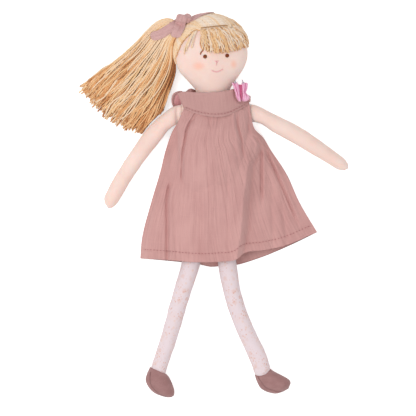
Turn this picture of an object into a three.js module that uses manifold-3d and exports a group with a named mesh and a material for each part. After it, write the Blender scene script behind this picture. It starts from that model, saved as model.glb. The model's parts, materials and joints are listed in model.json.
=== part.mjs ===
// A rag doll lying on its back, in millimetres: +Y runs to the crown, +X to its left, +Z out of its chest.
// The seam along the bottom of the torso lies on Y = 0 until the whole doll is moved to its rest point.
import * as THREE from "three";
import { mergeVertices } from "three/addons/utils/BufferGeometryUtils.js";
import Module from "manifold-3d";

const wasm = await Module();
wasm.setup();

// Cloth, thread and clearances
const gap = 0.3; // clearance between touching pieces
const fabric = 0.6; // cloth of the stuffed pieces
const slit = 0.3; // half of what is left open between two cloths pinched in a seam
const sheet = 1.2; // double gauze of the dress
const thread = 0.6; // radius of the sewing along a seam
const seamSlack = 0.7; // from that sewing to the cloth on each side of it

// Torso
const torsoLength = 106;
const torsoDepth = 34;
const shoulderWidth = 66; // between the two arm seams
const hipWidth = 52;
const armSeam = 17; // length of an arm's seam
const armSeamDrop = 13.5; // from the neck to the middle of that seam
const chestDrop = 22; // from the neck to the full depth of the chest

// Head
const headLength = 84;
const headWidth = 70;
const headDepth = 39;
const headShift = -2; // the head leans to the doll's right
const neckWidth = 32;
const neckDepth = 22;
const crownStart = 0.55; // share of the head's length where its crown starts to round
const eyeDiameter = 4;
const eyeRise = 0.5;
const mouthWidth = 12;
const mouthSag = 2.2;
const mouthPlace = [0.169, 0.335]; // shares of the head's half width and length
const faceThread = 0.45; // radius of the embroidery

// Hair and its ribbon
const hairThickness = 3;
const lockRadius = 1.1;
const ponytailLength = 101;
const ponytailTurn = 56; // from square to the head to the line of its cut ends
const ponytailTieWidth = 22;
const ponytailEndWidth = 79;
const ponytailDepth = 20;
const tieRadius = 0.8;
const tiePlace = 4; // from the root of the ponytail
const hairReach = 0.4; // from the swing line at the tie to the hair on each side of it
const hairEdge = 0.35; // half the thickness of the hair there
const gatherLength = 24; // of the hair drawn from the cap to the tie
const armClear = 2.5; // from the ponytail to the arm beside it
const ribbonWidth = 9;
const ribbonThickness = 1;
const knotRadius = 4.2;
const frontTailLength = 24;
const sideTailLength = 34;

// Arms
const armLength = 117;
const armWidth = 17.2;
const wristWidth = 14.4;
const armDepth = 15.6;
const rightArmDroop = 51; // from square to the body to the line from shoulder to hand
const leftArmDroop = 28;
const armBendPlace = 0.29; // share of the arm's length where it bends
const rightArmLead = 30; // the same angle at the shoulder, before the arm bends down
const leftArmLead = 20;

// Legs and shoes
const legLength = 169;
const legWidth = 18.2;
const legDepth = 15;
const ankleWidth = 14.6;
const legSpacing = 21; // between the two legs at the seam
const legShift = -1.5;
const legSeam = 11; // width of a leg where it is sewn in
const hipRise = 2; // of the seam above the middle of the legs
const rightLegSplay = 14.5;
const leftLegSplay = 13.6;
const rightLegBow = 3.5;
const leftLegBow = 9.5;
const shoeDepth = 17;
const heelWidth = 23;
const toeWidth = 15;
const heelDrop = 10;
const toeReach = 15;
const footTurn = 63; // from the leg to the line from heel to toe
const seamBow = 0.9; // the sewn end is rounded, so that the leg can turn on the sewing

// Dress
const yokeWidth = 64;
const yokeTop = 7.5; // of the neckline above the neck seam
const yokeEnd = 12; // height of the yoke at the shoulders
const yokeDip = 9; // of its lower edge, in the middle
const yokeSlope = 3.5; // of its upper edge, down to the shoulders
const strapWidth = 8.6;
const rightStrapBulge = 11;
const leftStrapBulge = 5;
const armholeDepth = 15;
const armpitFlare = 9;
const hemDrop = 55.5; // from the bottom of the torso to the front hem
const backHemDrop = 61;
const rightHem = 73; // from the middle of the doll to the corners of the hem
const leftHem = 105;
const hemLift = 29; // of the doll's left corner above the front hem
const hemLiftStart = 24;
const hipReach = 28.5; // from the middle of the doll to where the skirt falls from its right hip
const sideReach = 7; // from the skirt's right edge to where it has risen from the floor
const valleyWidth = 10; // from the main ridge to the foot of the slope beside it
const drapeEase = 6; // how far cloth over the torso is let out at its sides

// Brooch
const broochLobe = 4.5; // radius
const broochTail = 13; // length
const broochTailWidth = 6;
const broochTie = 2.4; // radius
const broochInset = 9; // from the end of the yoke

// Heights worked out from the sizes
const seam = fabric + slit;
const seamReach = thread + seamSlack;
const bedTop = sheet + gap;
const torsoMid = bedTop + torsoDepth / 2;
const headMid = hairThickness + gap + headDepth / 2;
const hipMid = bedTop + legDepth / 2 + hipRise;
const neckY = torsoLength;
const armSeamY = neckY - armSeamDrop;
const shoulderX = shoulderWidth / 2;
const up = new THREE.Vector3(0, 0, 1);

const colours = {
  skin: [0xf4d8cd, 0.9],
  stuffing: [0xf6f3ec, 1],
  thread: [0xe6d6c8, 0.8],
  brown: [0x6e3214, 0.6],
  pink: [0xd98a86, 0.8],
  hair: [0xe2be91, 0.85],
  ribbon: [0xc39ba0, 0.9],
  dress: [0xcb9994, 0.95],
  satin: [0xe696c3, 0.35],
  tights: [0xe4d7dc, 0.9],
  shoe: [0xa57876, 0.95],
};
const materials = {};
for (const [name, [color, roughness]] of Object.entries(colours)) {
  materials[name] = new THREE.MeshStandardMaterial({ color, roughness, metalness: 0 });
}

const doll = new THREE.Group();

function add(name, material, geometry) {
  const mesh = new THREE.Mesh(geometry, materials[material]);
  mesh.name = name;
  doll.add(mesh);
  return mesh;
}

// Small sums
const radians = THREE.MathUtils.degToRad;
const lerp = THREE.MathUtils.lerp;
const smooth = THREE.MathUtils.smoothstep;
const at = (x, y, z) => new THREE.Vector3(x, y, z);
const compass = (angle) => at(Math.cos(angle), Math.sin(angle), 0);
const arch = (share) => Math.sqrt(Math.max(0, 1 - share * share));
const roundedEnd = (t, start) => (t <= start ? 1 : arch((t - start) / (1 - start)));

// A closed mesh from points and faces, with its faces turned outwards
function closedMesh(points, faces) {
  let volume = 0;
  for (const [a, b, c] of faces) {
    volume += points[a].dot(points[b].clone().cross(points[c]));
  }
  const index = faces.flatMap(([a, b, c]) => (volume < 0 ? [a, c, b] : [a, b, c]));
  return new THREE.BufferGeometry().setFromPoints(points).setIndex(index);
}

// A surface through rings of points, closed by a tip at each end, or joined end to start without tips
function surface(rings, tips) {
  const count = rings[0].length;
  const points = rings.flat();
  const faces = [];
  const joins = tips ? rings.length - 1 : rings.length;
  for (let i = 0; i < joins; i++) {
    const here = i * count;
    const next = ((i + 1) % rings.length) * count;
    for (let k = 0; k < count; k++) {
      const l = (k + 1) % count;
      faces.push([here + k, here + l, next + l], [here + k, next + l, next + k]);
    }
  }
  if (tips) {
    const last = (rings.length - 1) * count;
    points.push(...tips);
    for (let k = 0; k < count; k++) {
      const l = (k + 1) % count;
      faces.push([points.length - 2, l, k], [points.length - 1, last + k, last + l]);
    }
  }
  return closedMesh(points, faces);
}

// One ring of a stuffed form: half a width across its heading, half a depth up and down.
// A sharp ring thins to its sides as a pillow does, and a bowed one has its sides further on than its middle.
function ring({ centre, heading, half, depth, sharp = 1, bow = 0 }, inset, count) {
  const ahead = compass(heading);
  const side = compass(heading + Math.PI / 2);
  return Array.from({ length: count }, (_, k) => {
    const c = Math.cos((2 * Math.PI * k) / count);
    const s = Math.sin((2 * Math.PI * k) / count);
    return centre
      .clone()
      .addScaledVector(side, (half - inset) * c)
      .addScaledVector(ahead, bow * c * c)
      .addScaledVector(up, (depth - inset) * Math.sign(s) * Math.abs(s) ** sharp);
  });
}

// The cloth of a stuffed form: open at its first station, and at its last one too when it has no tip
function skin(stations, count, tip) {
  const outer = stations.map((s) => ring(s, 0, count));
  const inner = stations.map((s) => ring(s, fabric, count));
  if (!tip) return surface([...outer.reverse(), ...inner]);
  const inside = tip.clone().addScaledVector(compass(stations.at(-1).heading), -fabric);
  return surface([...outer.reverse(), ...inner], [tip, inside]);
}

// The stuffing inside that cloth
function stuffing(stations, count, tip) {
  const inset = fabric + gap;
  const inside = tip.clone().addScaledVector(compass(stations.at(-1).heading), -inset);
  return surface(stations.map((s) => ring(s, inset, count)), [stations[0].centre, inside]);
}

// A sheet of cloth: a grid laid out by plan(u, v), with its underside at height(x, y, u, v)
function cloth(columns, rows, plan, height, thickness) {
  const under = [];
  for (let j = 0; j <= rows; j++) {
    for (let i = 0; i <= columns; i++) {
      const [x, y] = plan(i / columns, j / rows);
      under.push(at(x, y, height(x, y, i / columns, j / rows)));
    }
  }
  const over = under.map((p) => p.clone().addScaledVector(up, thickness));
  const size = under.length;
  const width = columns + 1;
  const faces = [];
  for (let j = 0; j < rows; j++) {
    for (let i = 0; i < columns; i++) {
      const a = j * width + i;
      const c = a + width;
      faces.push([a, a + 1, c + 1], [a, c + 1, c]);
      faces.push([size + a, size + c + 1, size + a + 1], [size + a, size + c, size + c + 1]);
    }
  }
  const rim = [];
  for (let i = 0; i < columns; i++) rim.push(i);
  for (let j = 0; j < rows; j++) rim.push(j * width + columns);
  for (let i = columns; i > 0; i--) rim.push(rows * width + i);
  for (let j = rows; j > 0; j--) rim.push(j * width);
  rim.forEach((a, k) => {
    const b = rim[(k + 1) % rim.length];
    faces.push([a, size + a, size + b], [a, size + b, b]);
  });
  return closedMesh([...under, ...over], faces);
}

// A flat strip along a path, with its width along one direction; a pinched one starts narrow
function strip(path, across, width, thickness, pinch = 1) {
  const rings = path.map((p, i) => {
    const spread = lerp(pinch, 1, Math.min(1, (2.5 * i) / (path.length - 1)));
    const wide = across.clone().setLength((spread * width) / 2);
    const ahead = path[Math.min(i + 1, path.length - 1)].clone().sub(path[Math.max(i - 1, 0)]);
    const thick = ahead.cross(across).setLength(thickness / 2);
    return [
      p.clone().add(wide).add(thick),
      p.clone().sub(wide).add(thick),
      p.clone().sub(wide).sub(thick),
      p.clone().add(wide).sub(thick),
    ];
  });
  return surface(rings, [path[0], path.at(-1)]);
}

// A round thread through a few points
function threadAlong(points, radius, steps) {
  const section = new THREE.Shape().absarc(0, 0, radius, 0, 2 * Math.PI);
  const extrudePath = new THREE.CatmullRomCurve3(points);
  return new THREE.ExtrudeGeometry(section, { steps, curveSegments: 3, extrudePath });
}

// A straight run of sewing between two points
function sewing(from, to) {
  const path = to.clone().sub(from);
  const rod = new THREE.CylinderGeometry(thread, thread, path.length(), 10);
  rod.applyQuaternion(new THREE.Quaternion().setFromUnitVectors(at(0, 1, 0), path.clone().normalize()));
  return rod.translate(...from.clone().addScaledVector(path, 0.5).toArray());
}

function ball(rx, ry, rz) {
  return new THREE.SphereGeometry(1, 12, 6).scale(rx, ry, rz);
}

// Raises a piece until it rests on the surface below it
function rest(geometry, surfaceAt, clearance = gap) {
  const points = geometry.getAttribute("position");
  let lift = -Infinity;
  for (let i = 0; i < points.count; i++) {
    lift = Math.max(lift, surfaceAt(points.getX(i), points.getY(i)) - points.getZ(i));
  }
  return geometry.translate(0, 0, lift + clearance);
}

// Joins and cuts
function solid(geometry) {
  const bare = new THREE.BufferGeometry().setAttribute("position", geometry.getAttribute("position"));
  bare.setIndex(geometry.getIndex());
  const merged = mergeVertices(bare);
  const triVerts = new Uint32Array(merged.getIndex().array);
  const vertProperties = merged.getAttribute("position").array;
  return new wasm.Manifold(new wasm.Mesh({ numProp: 3, vertProperties, triVerts }));
}

function geometryOf(made) {
  const { vertProperties, triVerts } = made.getMesh();
  const position = new THREE.BufferAttribute(vertProperties, 3);
  return new THREE.BufferGeometry().setAttribute("position", position).setIndex([...triVerts]);
}

function prism(outline, bottom, top) {
  const shape = new THREE.Shape(outline.map(([x, y]) => new THREE.Vector2(x, y)));
  const block = new THREE.ExtrudeGeometry(shape, { depth: top - bottom, bevelEnabled: false });
  return solid(block.translate(0, 0, bottom));
}

// Torso: a pillow with square shoulders, pinched to a seam at the neck, at its sides and along its bottom
const torsoStep = (t) => neckY - seamReach - t * (torsoLength - 2 * seamReach);
const torsoShare = (y) =>
  THREE.MathUtils.clamp((neckY - seamReach - y) / (torsoLength - 2 * seamReach), 0, 1);
const torsoHalf = (t) => {
  const corner = 3 * (1 - smooth(t, 0, 0.03));
  return lerp(shoulderX - seamReach, hipWidth / 2, smooth(t, 0.25, 0.9)) - corner;
};
const torsoHalfDepth = (t) => lerp(seam, torsoDepth / 2, 1 - Math.abs(2 * t - 1) ** 5);
const torsoCentre = (t) => Math.max(lerp(torsoMid, hipMid, smooth(t, 0.6, 1)), bedTop + torsoHalfDepth(t));
const torsoStations = [0, 0.02, 0.05, 0.1, 0.18, 0.3, 0.45, 0.6, 0.75, 0.87, 0.95, 1].map((t) => ({
  centre: at(0, torsoStep(t), torsoCentre(t)),
  heading: -Math.PI / 2,
  half: torsoHalf(t),
  depth: torsoHalfDepth(t),
  sharp: 1.5,
}));
add("torso_skin", "skin", skin(torsoStations, 20));
add("torso_stuffing", "stuffing", stuffing(torsoStations.slice(2, -2), 20, torsoStations.at(-2).centre));

// Height of the torso's front, with its sides let out so that cloth over it falls clear of them
function torsoFront(x, y) {
  const t = torsoShare(y);
  const share = Math.min(1, Math.abs(x) / (torsoHalf(t) + drapeEase));
  return torsoCentre(t) + torsoHalfDepth(t) * (1 - share ** 2);
}

// The yoke and the top of the skirt arch over the neck at the height of the chest
const chestY = neckY - chestDrop;
const chest = (x, y) => torsoFront(x, Math.min(y, chestY)) + gap;

const neckHalf = neckWidth / 2;
add("neck_stitching", "thread", sewing(at(-neckHalf, neckY, torsoMid), at(neckHalf, neckY, torsoMid)));
const hipHalf = (legSpacing + legSeam) / 2;
add("hip_stitching", "thread", sewing(at(legShift - hipHalf, 0, hipMid), at(legShift + hipHalf, 0, hipMid)));

// Arms: sewn flat into the torso's sides, then round, and lying down on the floor at the hand
const armShares = [0, 0.02, 0.06, 0.12, 0.22, 0.36, 0.52, 0.68, 0.82, 0.9, 0.95, 0.985];
const limbSegments = 14;
const limbFill = (t) => Math.sin((Math.min(1, t / 0.14) * Math.PI) / 2);
function arm(side, name, droop, lead) {
  const outward = side < 0 ? Math.PI : 0;
  const lean = (degrees) => outward - side * radians(degrees);
  const root = at(side * (shoulderX + seamReach), armSeamY, torsoMid);
  const bend = root.clone().addScaledVector(compass(lean(lead)), armLength * armBendPlace);
  const hand = root.clone().addScaledVector(compass(lean(droop)), armLength);
  const spine = new THREE.QuadraticBezierCurve3(root, bend, hand);
  const stations = armShares.map((t) => {
    const centre = spine.getPoint(t);
    const along = spine.getTangent(t);
    const turn = Math.atan2(along.y, along.x * side) * smooth(t, 0, 0.12);
    const end = roundedEnd(t, 0.88);
    const full = (armDepth / 2) * lerp(1, 0.88, t);
    const depth = lerp(seam, full, limbFill(t)) * end;
    centre.z = lerp(torsoMid, full, smooth(t, 0, 0.7));
    const half = lerp(armSeam / 2, lerp(armWidth, wristWidth, t) / 2, smooth(t, 0, 0.1)) * end;
    return { centre, heading: side < 0 ? Math.PI - turn : turn, half, depth };
  });
  const tip = hand.clone().setZ((armDepth / 2) * 0.88);
  add(`${name}_skin`, "skin", skin(stations, limbSegments, tip));
  add(`${name}_stuffing`, "stuffing", stuffing(stations.slice(2), limbSegments, tip));
  const seamEnd = armSeam / 2 - thread;
  const seamX = side * shoulderX;
  const sewn = sewing(at(seamX, armSeamY - seamEnd, torsoMid), at(seamX, armSeamY + seamEnd, torsoMid));
  add(`shoulder_stitching_${side < 0 ? "right" : "left"}`, "thread", sewn);
  return stations;
}
const rightArm = arm(-1, "arm_right", rightArmDroop, rightArmLead);
arm(1, "arm_left", leftArmDroop, leftArmLead);

// Head: an upside-down drop on a short neck
const headStep = (f, extra) => neckY + seamReach + f * (headLength - seamReach + extra);
const headHalf = (f, extra) =>
  (lerp(neckWidth, headWidth, smooth(f, 0.07, 0.47)) / 2 + extra) * roundedEnd(f, crownStart);
const headHalfDepth = (f, extra) => {
  const full = (lerp(neckDepth, headDepth, smooth(f, 0.07, 0.5)) / 2 + extra) * roundedEnd(f, crownStart);
  return lerp(seam + extra, full, Math.sin((Math.min(1, f / 0.09) * Math.PI) / 2));
};
const headCentre = (f) => at(headShift * smooth(f, 0, 0.5), 0, lerp(torsoMid, headMid, smooth(f, 0, 0.5)));
const headShares = [0, 0.03, 0.08, 0.15, 0.23, 0.31, 0.4, 0.5, 0.6, 0.7, 0.8, 0.88, 0.945, 0.985];
const headStations = (extra) =>
  headShares.map((f) => ({
    centre: headCentre(f).setY(headStep(f, extra)),
    heading: Math.PI / 2,
    half: headHalf(f, extra),
    depth: headHalfDepth(f, extra),
  }));
const crown = (extra) => at(headShift, headStep(1, extra), headMid);
const headSegments = 24;
add("head_skin", "skin", skin(headStations(0), headSegments, crown(0)));
add("head_stuffing", "stuffing", stuffing(headStations(0).slice(2), headSegments, crown(0)));

// A place on the head: u is a share of its half width, f a share of its length, lift a height over the cloth
function onHead(u, f, lift) {
  const x = headCentre(f).x + u * headHalf(f, 0);
  return at(x, headStep(f, 0), headCentre(f).z + headHalfDepth(f, 0) * Math.sqrt(1 - u * u) + lift);
}

function headNormal(u, f) {
  const step = 0.01;
  const across = onHead(u + step, f, 0).sub(onHead(u - step, f, 0));
  const along = onHead(u, f + step, 0).sub(onHead(u, f - step, 0));
  return across.cross(along).normalize();
}

// Face, embroidered: the features sit a little to the doll's left of the middle of the head
const features = { eye_right: [-0.17, 0.513], eye_left: [0.46, 0.525] };
for (const [name, [u, f]] of Object.entries(features)) {
  const normal = headNormal(u, f);
  const eye = ball(eyeDiameter / 2, eyeDiameter / 2, eyeRise);
  eye.applyQuaternion(new THREE.Quaternion().setFromUnitVectors(up, normal));
  const place = onHead(u, f, 0).addScaledVector(normal, gap + eyeRise);
  add(name, "brown", eye.translate(place.x, place.y, place.z));
}

function stitchOnFace(name, material, places, radius, lift) {
  const out = lift + gap + radius;
  const points = places.map(([u, f]) => onHead(u, f, 0).addScaledVector(headNormal(u, f), out));
  return add(name, material, threadAlong(points, radius, 8));
}

const [mouthU, mouthF] = mouthPlace;
const smile = [-1, -0.5, 0, 0.5, 1].map((k) => {
  const rise = (mouthSag * k * k) / headLength;
  return [mouthU + (k * mouthWidth) / 2 / headHalf(mouthF, 0), mouthF + rise];
});
stitchOnFace("mouth", "pink", smile, faceThread, 0);
stitchOnFace("nose", "pink", [[0.135, 0.43], [0.16, 0.425], [0.185, 0.43]], faceThread, 0);
stitchOnFace("brow_right", "brown", [[-0.33, 0.536], [-0.3, 0.56], [-0.25, 0.58]], faceThread, 0);

// Hair: a cap of yarn over the crown and the back, gathered to the tie at the doll's right
const hairOut = gap + hairThickness;
const headLayer = (extra) => solid(surface(headStations(extra).map((s) => ring(s, 0, headSegments)), [
  headStations(extra)[0].centre,
  crown(extra),
]));
const headXY = ([u, f]) => [headShift + (u * headWidth) / 2, headStep(f, 0)];
const wide = 1.4;
const hairline = [
  [-0.986, 0.4],
  [-0.914, 0.565],
  [-0.743, 0.708],
  [-0.371, 0.851],
  [0.057, 0.875],
  [0.486, 0.881],
  [0.829, 0.756],
  [1.03, 0.637],
];
const faceOpening = [...hairline, [wide, 0.6], [wide, -0.2], [-wide, -0.2], [-wide, 0.38]];
const nape = [[-wide, 0.24], [wide, 0.24], [wide, -0.2], [-wide, -0.2]];
const above = headMid + headDepth;
const tieF = 0.815;
const tieY = headStep(tieF, 0);
const tieX = headShift - headWidth / 2 - hairOut;
const gatherHalf = (t) => lerp(ponytailTieWidth * 0.65, ponytailTieWidth / 2, t);
const gatherDepth = (t) => lerp(headDepth * 0.36, hairEdge, t ** 1.4);
const gather = [0, 0.35, 0.7, 0.9, 1].map((t) => ({
  centre: at(tieX + hairReach + (1 - t) * gatherLength, tieY, headMid),
  heading: Math.PI,
  half: gatherHalf(t),
  depth: gatherDepth(t),
}));
const gatherSolid = solid(
  surface(gather.map((s) => ring(s, 0, 14)), [gather[0].centre, gather.at(-1).centre]),
);
const capSolid = headLayer(hairOut)
  .add(gatherSolid)
  .subtract(headLayer(gap))
  .subtract(prism(faceOpening.map(headXY), headMid - 1, above))
  .subtract(prism(nape.map(headXY), -1, above));
add("hair_cap", "hair", geometryOf(capSolid));

const fringeOutline = [
  [-0.29, 0.83],
  [0.057, 0.855],
  [0.486, 0.861],
  [0.8, 0.74],
  [0.986, 0.627],
  [0.914, 0.59],
  [0.686, 0.552],
  [0.257, 0.55],
  [-0.12, 0.56],
  [-0.24, 0.685],
];
const fringeSolid = headLayer(hairOut)
  .subtract(headLayer(gap))
  .intersect(prism(fringeOutline.map(headXY), headMid, above));
add("fringe", "hair", geometryOf(fringeSolid));
stitchOnFace("side_lock", "hair", [[-0.5, 0.79], [-0.62, 0.7], [-0.72, 0.6]], lockRadius, 0);
stitchOnFace("parting_stitch", "thread", [[-0.4, 0.843], [0.05, 0.868], [0.52, 0.87]], faceThread, hairOut);

// Ponytail: a bundle that fans out from the tie to its cut ends and lies down on the floor
const ponytailEnd = radians(180 + ponytailTurn);
const ponytailLine = compass(radians(180 + ponytailTurn * 0.97));
const ponytailHalfDepth = (t) =>
  lerp(hairEdge, ponytailDepth / 2, Math.min(1, t / 0.3) ** 0.8) * lerp(1, 0.45, smooth(t, 0.75, 1));
const ponytailStations = [0, 0.03, 0.08, 0.15, 0.25, 0.4, 0.55, 0.7, 0.85, 0.95, 1].map((t) => {
  const depth = ponytailHalfDepth(t);
  const centre = at(tieX - hairReach, tieY, Math.max(depth, lerp(headMid, depth, smooth(t, 0, 0.5))));
  return {
    centre: centre.addScaledVector(ponytailLine, t * ponytailLength),
    heading: lerp(Math.PI, ponytailEnd, smooth(t, -0.1, 0.75)),
    half: lerp(ponytailTieWidth, ponytailEndWidth, t ** 0.62) / 2,
    depth,
  };
});
const ponytailRoot = ponytailStations[0].centre;
const cutEnds = ponytailStations.at(-1).centre.clone().addScaledVector(compass(ponytailEnd), hairThickness);
const bundle = surface(ponytailStations.map((s) => ring(s, 0, 20)), [ponytailRoot, cutEnds]);
const besideArm = (s, share) => {
  const p = s.centre.clone().addScaledVector(compass(s.heading - Math.PI / 2), share * (s.half + armClear));
  return [p.x, p.y];
};
const armOutline = [
  ...rightArm.map((s) => besideArm(s, 1)),
  ...rightArm.map((s) => besideArm(s, -1)).reverse(),
];
const ponytailSolid = solid(bundle).subtract(prism(armOutline, -1, above));
add("ponytail", "hair", geometryOf(ponytailSolid));

// The tie: a ring round the bundle, a little way out from its root
const tieShare = tiePlace / ponytailLength;
const tieStation = {
  centre: ponytailRoot.clone().addScaledVector(ponytailLine, tiePlace),
  heading: lerp(Math.PI, ponytailEnd, smooth(tieShare, -0.1, 0.75)),
  half: lerp(ponytailTieWidth, ponytailEndWidth, tieShare ** 0.62) / 2,
  depth: ponytailHalfDepth(tieShare),
};
tieStation.centre.z = lerp(headMid, tieStation.depth, smooth(tieShare, 0, 0.5));
const tieSides = 6;
const tieClear = tieRadius * Math.tan(radians(60)) + 2 * gap;
const tieAhead = compass(tieStation.heading);
const tieLoop = ring(tieStation, -tieRadius - tieClear, 20);
const tieRings = tieLoop.map((p, i) => {
  const next = tieLoop[(i + 1) % tieLoop.length];
  const before = tieLoop[(i + tieLoop.length - 1) % tieLoop.length];
  const out = next.clone().sub(before).cross(tieAhead).normalize();
  return Array.from({ length: tieSides }, (_, k) => {
    const turn = (2 * Math.PI * k) / tieSides;
    return p
      .clone()
      .addScaledVector(out, tieRadius * Math.cos(turn))
      .addScaledVector(tieAhead, tieRadius * Math.sin(turn));
  });
});
add("hair_tie", "ribbon", surface(tieRings));

// Ribbon: a band on edge over the crown, a knot and two tails that lie on the hair
function roundCrown(angle, extra) {
  const centreY = headStep(crownStart, extra);
  const half = headWidth / 2 + extra;
  return at(headShift + half * Math.cos(angle), lerp(centreY, headStep(1, extra), Math.sin(angle)), headMid);
}
const bandOut = hairOut + gap + ribbonThickness / 2;
const bandPath = [60, 70, 80, 90, 100, 110, 120].map((angle) => roundCrown(radians(angle), bandOut));
add("ribbon_band", "ribbon", strip(bandPath, up, ribbonWidth, ribbonThickness));

const tieTop = tieStation.centre.z + tieStation.depth + tieClear + 2 * tieRadius;
function hairTop(x, y) {
  const f = THREE.MathUtils.clamp((y - headStep(0, 0)) / (headStep(1, hairOut) - headStep(0, 0)), 0, 1);
  const cap = headHalfDepth(f, hairOut) * arch((x - headCentre(f).x) / headHalf(f, hairOut));
  const t = 1 - (x - tieX - hairReach) / gatherLength;
  if (t > 1) return tieTop;
  const gathered = t < 0 ? 0 : gatherDepth(t) * arch((y - tieY) / gatherHalf(t));
  return headMid + Math.max(cap, gathered);
}
const knotPlace = roundCrown(radians(127), hairOut + knotRadius);
const knot = ball(knotRadius, knotRadius, knotRadius);
add("ribbon_knot", "ribbon", rest(knot.translate(knotPlace.x, knotPlace.y, 0), hairTop));

function tail(name, direction, length) {
  const ahead = compass(radians(direction));
  const start = knotPlace.clone().addScaledVector(ahead, knotRadius + gap);
  const path = Array.from({ length: 8 }, (_, k) => {
    const p = start.clone().addScaledVector(ahead, (k * length) / 7);
    return p.setZ(hairTop(p.x, p.y));
  });
  const across = compass(radians(direction + 90));
  add(name, "ribbon", rest(strip(path, across, ribbonWidth, ribbonThickness, 0.3), hairTop, 2 * gap));
}
tail("ribbon_tail_front", 252, frontTailLength);
tail("ribbon_tail_side", 200, sideTailLength);

// Legs: sewn flat along the bottom of the torso, each ending in a cloth shoe that shares its stuffing
const legShares = [0, 0.015, 0.05, 0.1, 0.18, 0.32, 0.5, 0.68, 0.85, 1];
function leg(side, name, splay, bow) {
  const root = at(legShift + (side * legSpacing) / 2, -seamReach, hipMid);
  const line = radians(-90 + side * splay);
  const ankle = root.clone().addScaledVector(compass(line), legLength);
  const bend = root.clone().lerp(ankle, 0.5).addScaledVector(compass(line - (side * Math.PI) / 2), 2 * bow);
  const spine = new THREE.QuadraticBezierCurve3(root, bend, ankle);
  const lying = bedTop + legDepth / 2;
  const stations = legShares.map((t) => {
    const along = spine.getTangent(t);
    const depth = lerp(seam, (legDepth / 2) * lerp(1, 0.92, t), limbFill(t * 1.4));
    return {
      centre: spine.getPoint(t).setZ(lerp(hipMid, lying, smooth(t, 0, 0.2))),
      heading: lerp(-Math.PI / 2, Math.atan2(along.y, along.x), smooth(t, 0, 0.1)),
      half: lerp(legSeam, lerp(legWidth, ankleWidth, smooth(t, 0.3, 1)), smooth(t, 0, 0.1)) / 2,
      depth,
      bow: seamBow * (1 - smooth(t, 0, 0.05)),
    };
  });
  add(`${name}_skin`, "tights", skin(stations, limbSegments));

  const { heading, half: ankleHalf, depth: ankleDepth, centre: ankleCentre } = stations.at(-1);
  const turned = (share) => heading + radians(footTurn) * share;
  const below = (distance) => ankleCentre.clone().addScaledVector(compass(heading), distance);
  const heel = below(heelDrop);
  const toe = heel.clone().addScaledVector(compass(turned(1)), toeReach);
  const beyondToe = (share) => toe.clone().addScaledVector(compass(turned(1)), toeWidth * share);
  const foot = [
    [below(gap), 0, ankleHalf, ankleDepth],
    [below(heelDrop * 0.4), 0.15, ankleHalf * 1.25, shoeDepth * 0.46],
    [heel.clone().lerp(toe, 0.08), 0.45, heelWidth / 2, shoeDepth / 2],
    [heel.clone().lerp(toe, 0.42), 0.7, heelWidth * 0.46, shoeDepth / 2],
    [heel.clone().lerp(toe, 0.72), 0.88, lerp(heelWidth, toeWidth, 0.7) / 2, shoeDepth * 0.46],
    [toe, 1, toeWidth / 2, shoeDepth * 0.38],
    [beyondToe(0.24), 1, toeWidth * 0.36, shoeDepth * 0.26],
  ].map(([centre, share, half, depth]) => {
    const low = lerp(ankleCentre.z, shoeDepth / 2, smooth(share, 0, 0.45));
    return { centre: centre.setZ(low), heading: turned(share), half, depth };
  });
  const tip = beyondToe(0.4);
  add(name.replace("leg", "shoe"), "shoe", skin(foot, limbSegments, tip));
  add(`${name}_stuffing`, "stuffing", stuffing([...stations.slice(2), ...foot.slice(1)], limbSegments, tip));
}
leg(-1, "leg_right", rightLegSplay, rightLegBow);
leg(1, "leg_left", leftLegSplay, leftLegBow);

// Yoke: a stiff band across the chest, arched over the torso, with a flat twin under the back
const yokeHalf = yokeWidth / 2;
const yokeUpper = (u) => neckY + yokeTop - yokeSlope * (2 * u - 1) ** 2;
const yokeLower = (u) => neckY + yokeTop - yokeSlope - yokeEnd - yokeDip * (1 - (2 * u - 1) ** 2);
const yokePlan = (u, v) => [lerp(-yokeHalf, yokeHalf, u), lerp(yokeUpper(u), yokeLower(u), v)];
add("yoke_front", "dress", cloth(20, 4, yokePlan, chest, sheet));
add("yoke_back", "dress", cloth(8, 1, yokePlan, () => 0, sheet));

// Straps: bands from the front yoke round the outside of each shoulder to the back yoke
function strap(side, name, bulge) {
  const low = sheet / 2;
  const high = chest(side * yokeHalf, neckY) + sheet / 2;
  const middle = (low + high) / 2;
  const strapY = yokeUpper(0) - strapWidth / 2;
  const path = Array.from({ length: 9 }, (_, k) => {
    const angle = Math.PI * (k / 8 - 0.5);
    const out = yokeHalf + gap + bulge * Math.cos(angle);
    return at(side * out, strapY, middle + (high - middle) * Math.sin(angle));
  });
  add(name, "dress", strip(path, at(0, 1, 0), strapWidth, sheet));
}
strap(-1, "shoulder_strap_right", rightStrapBulge);
strap(1, "shoulder_strap_left", leftStrapBulge);

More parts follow.
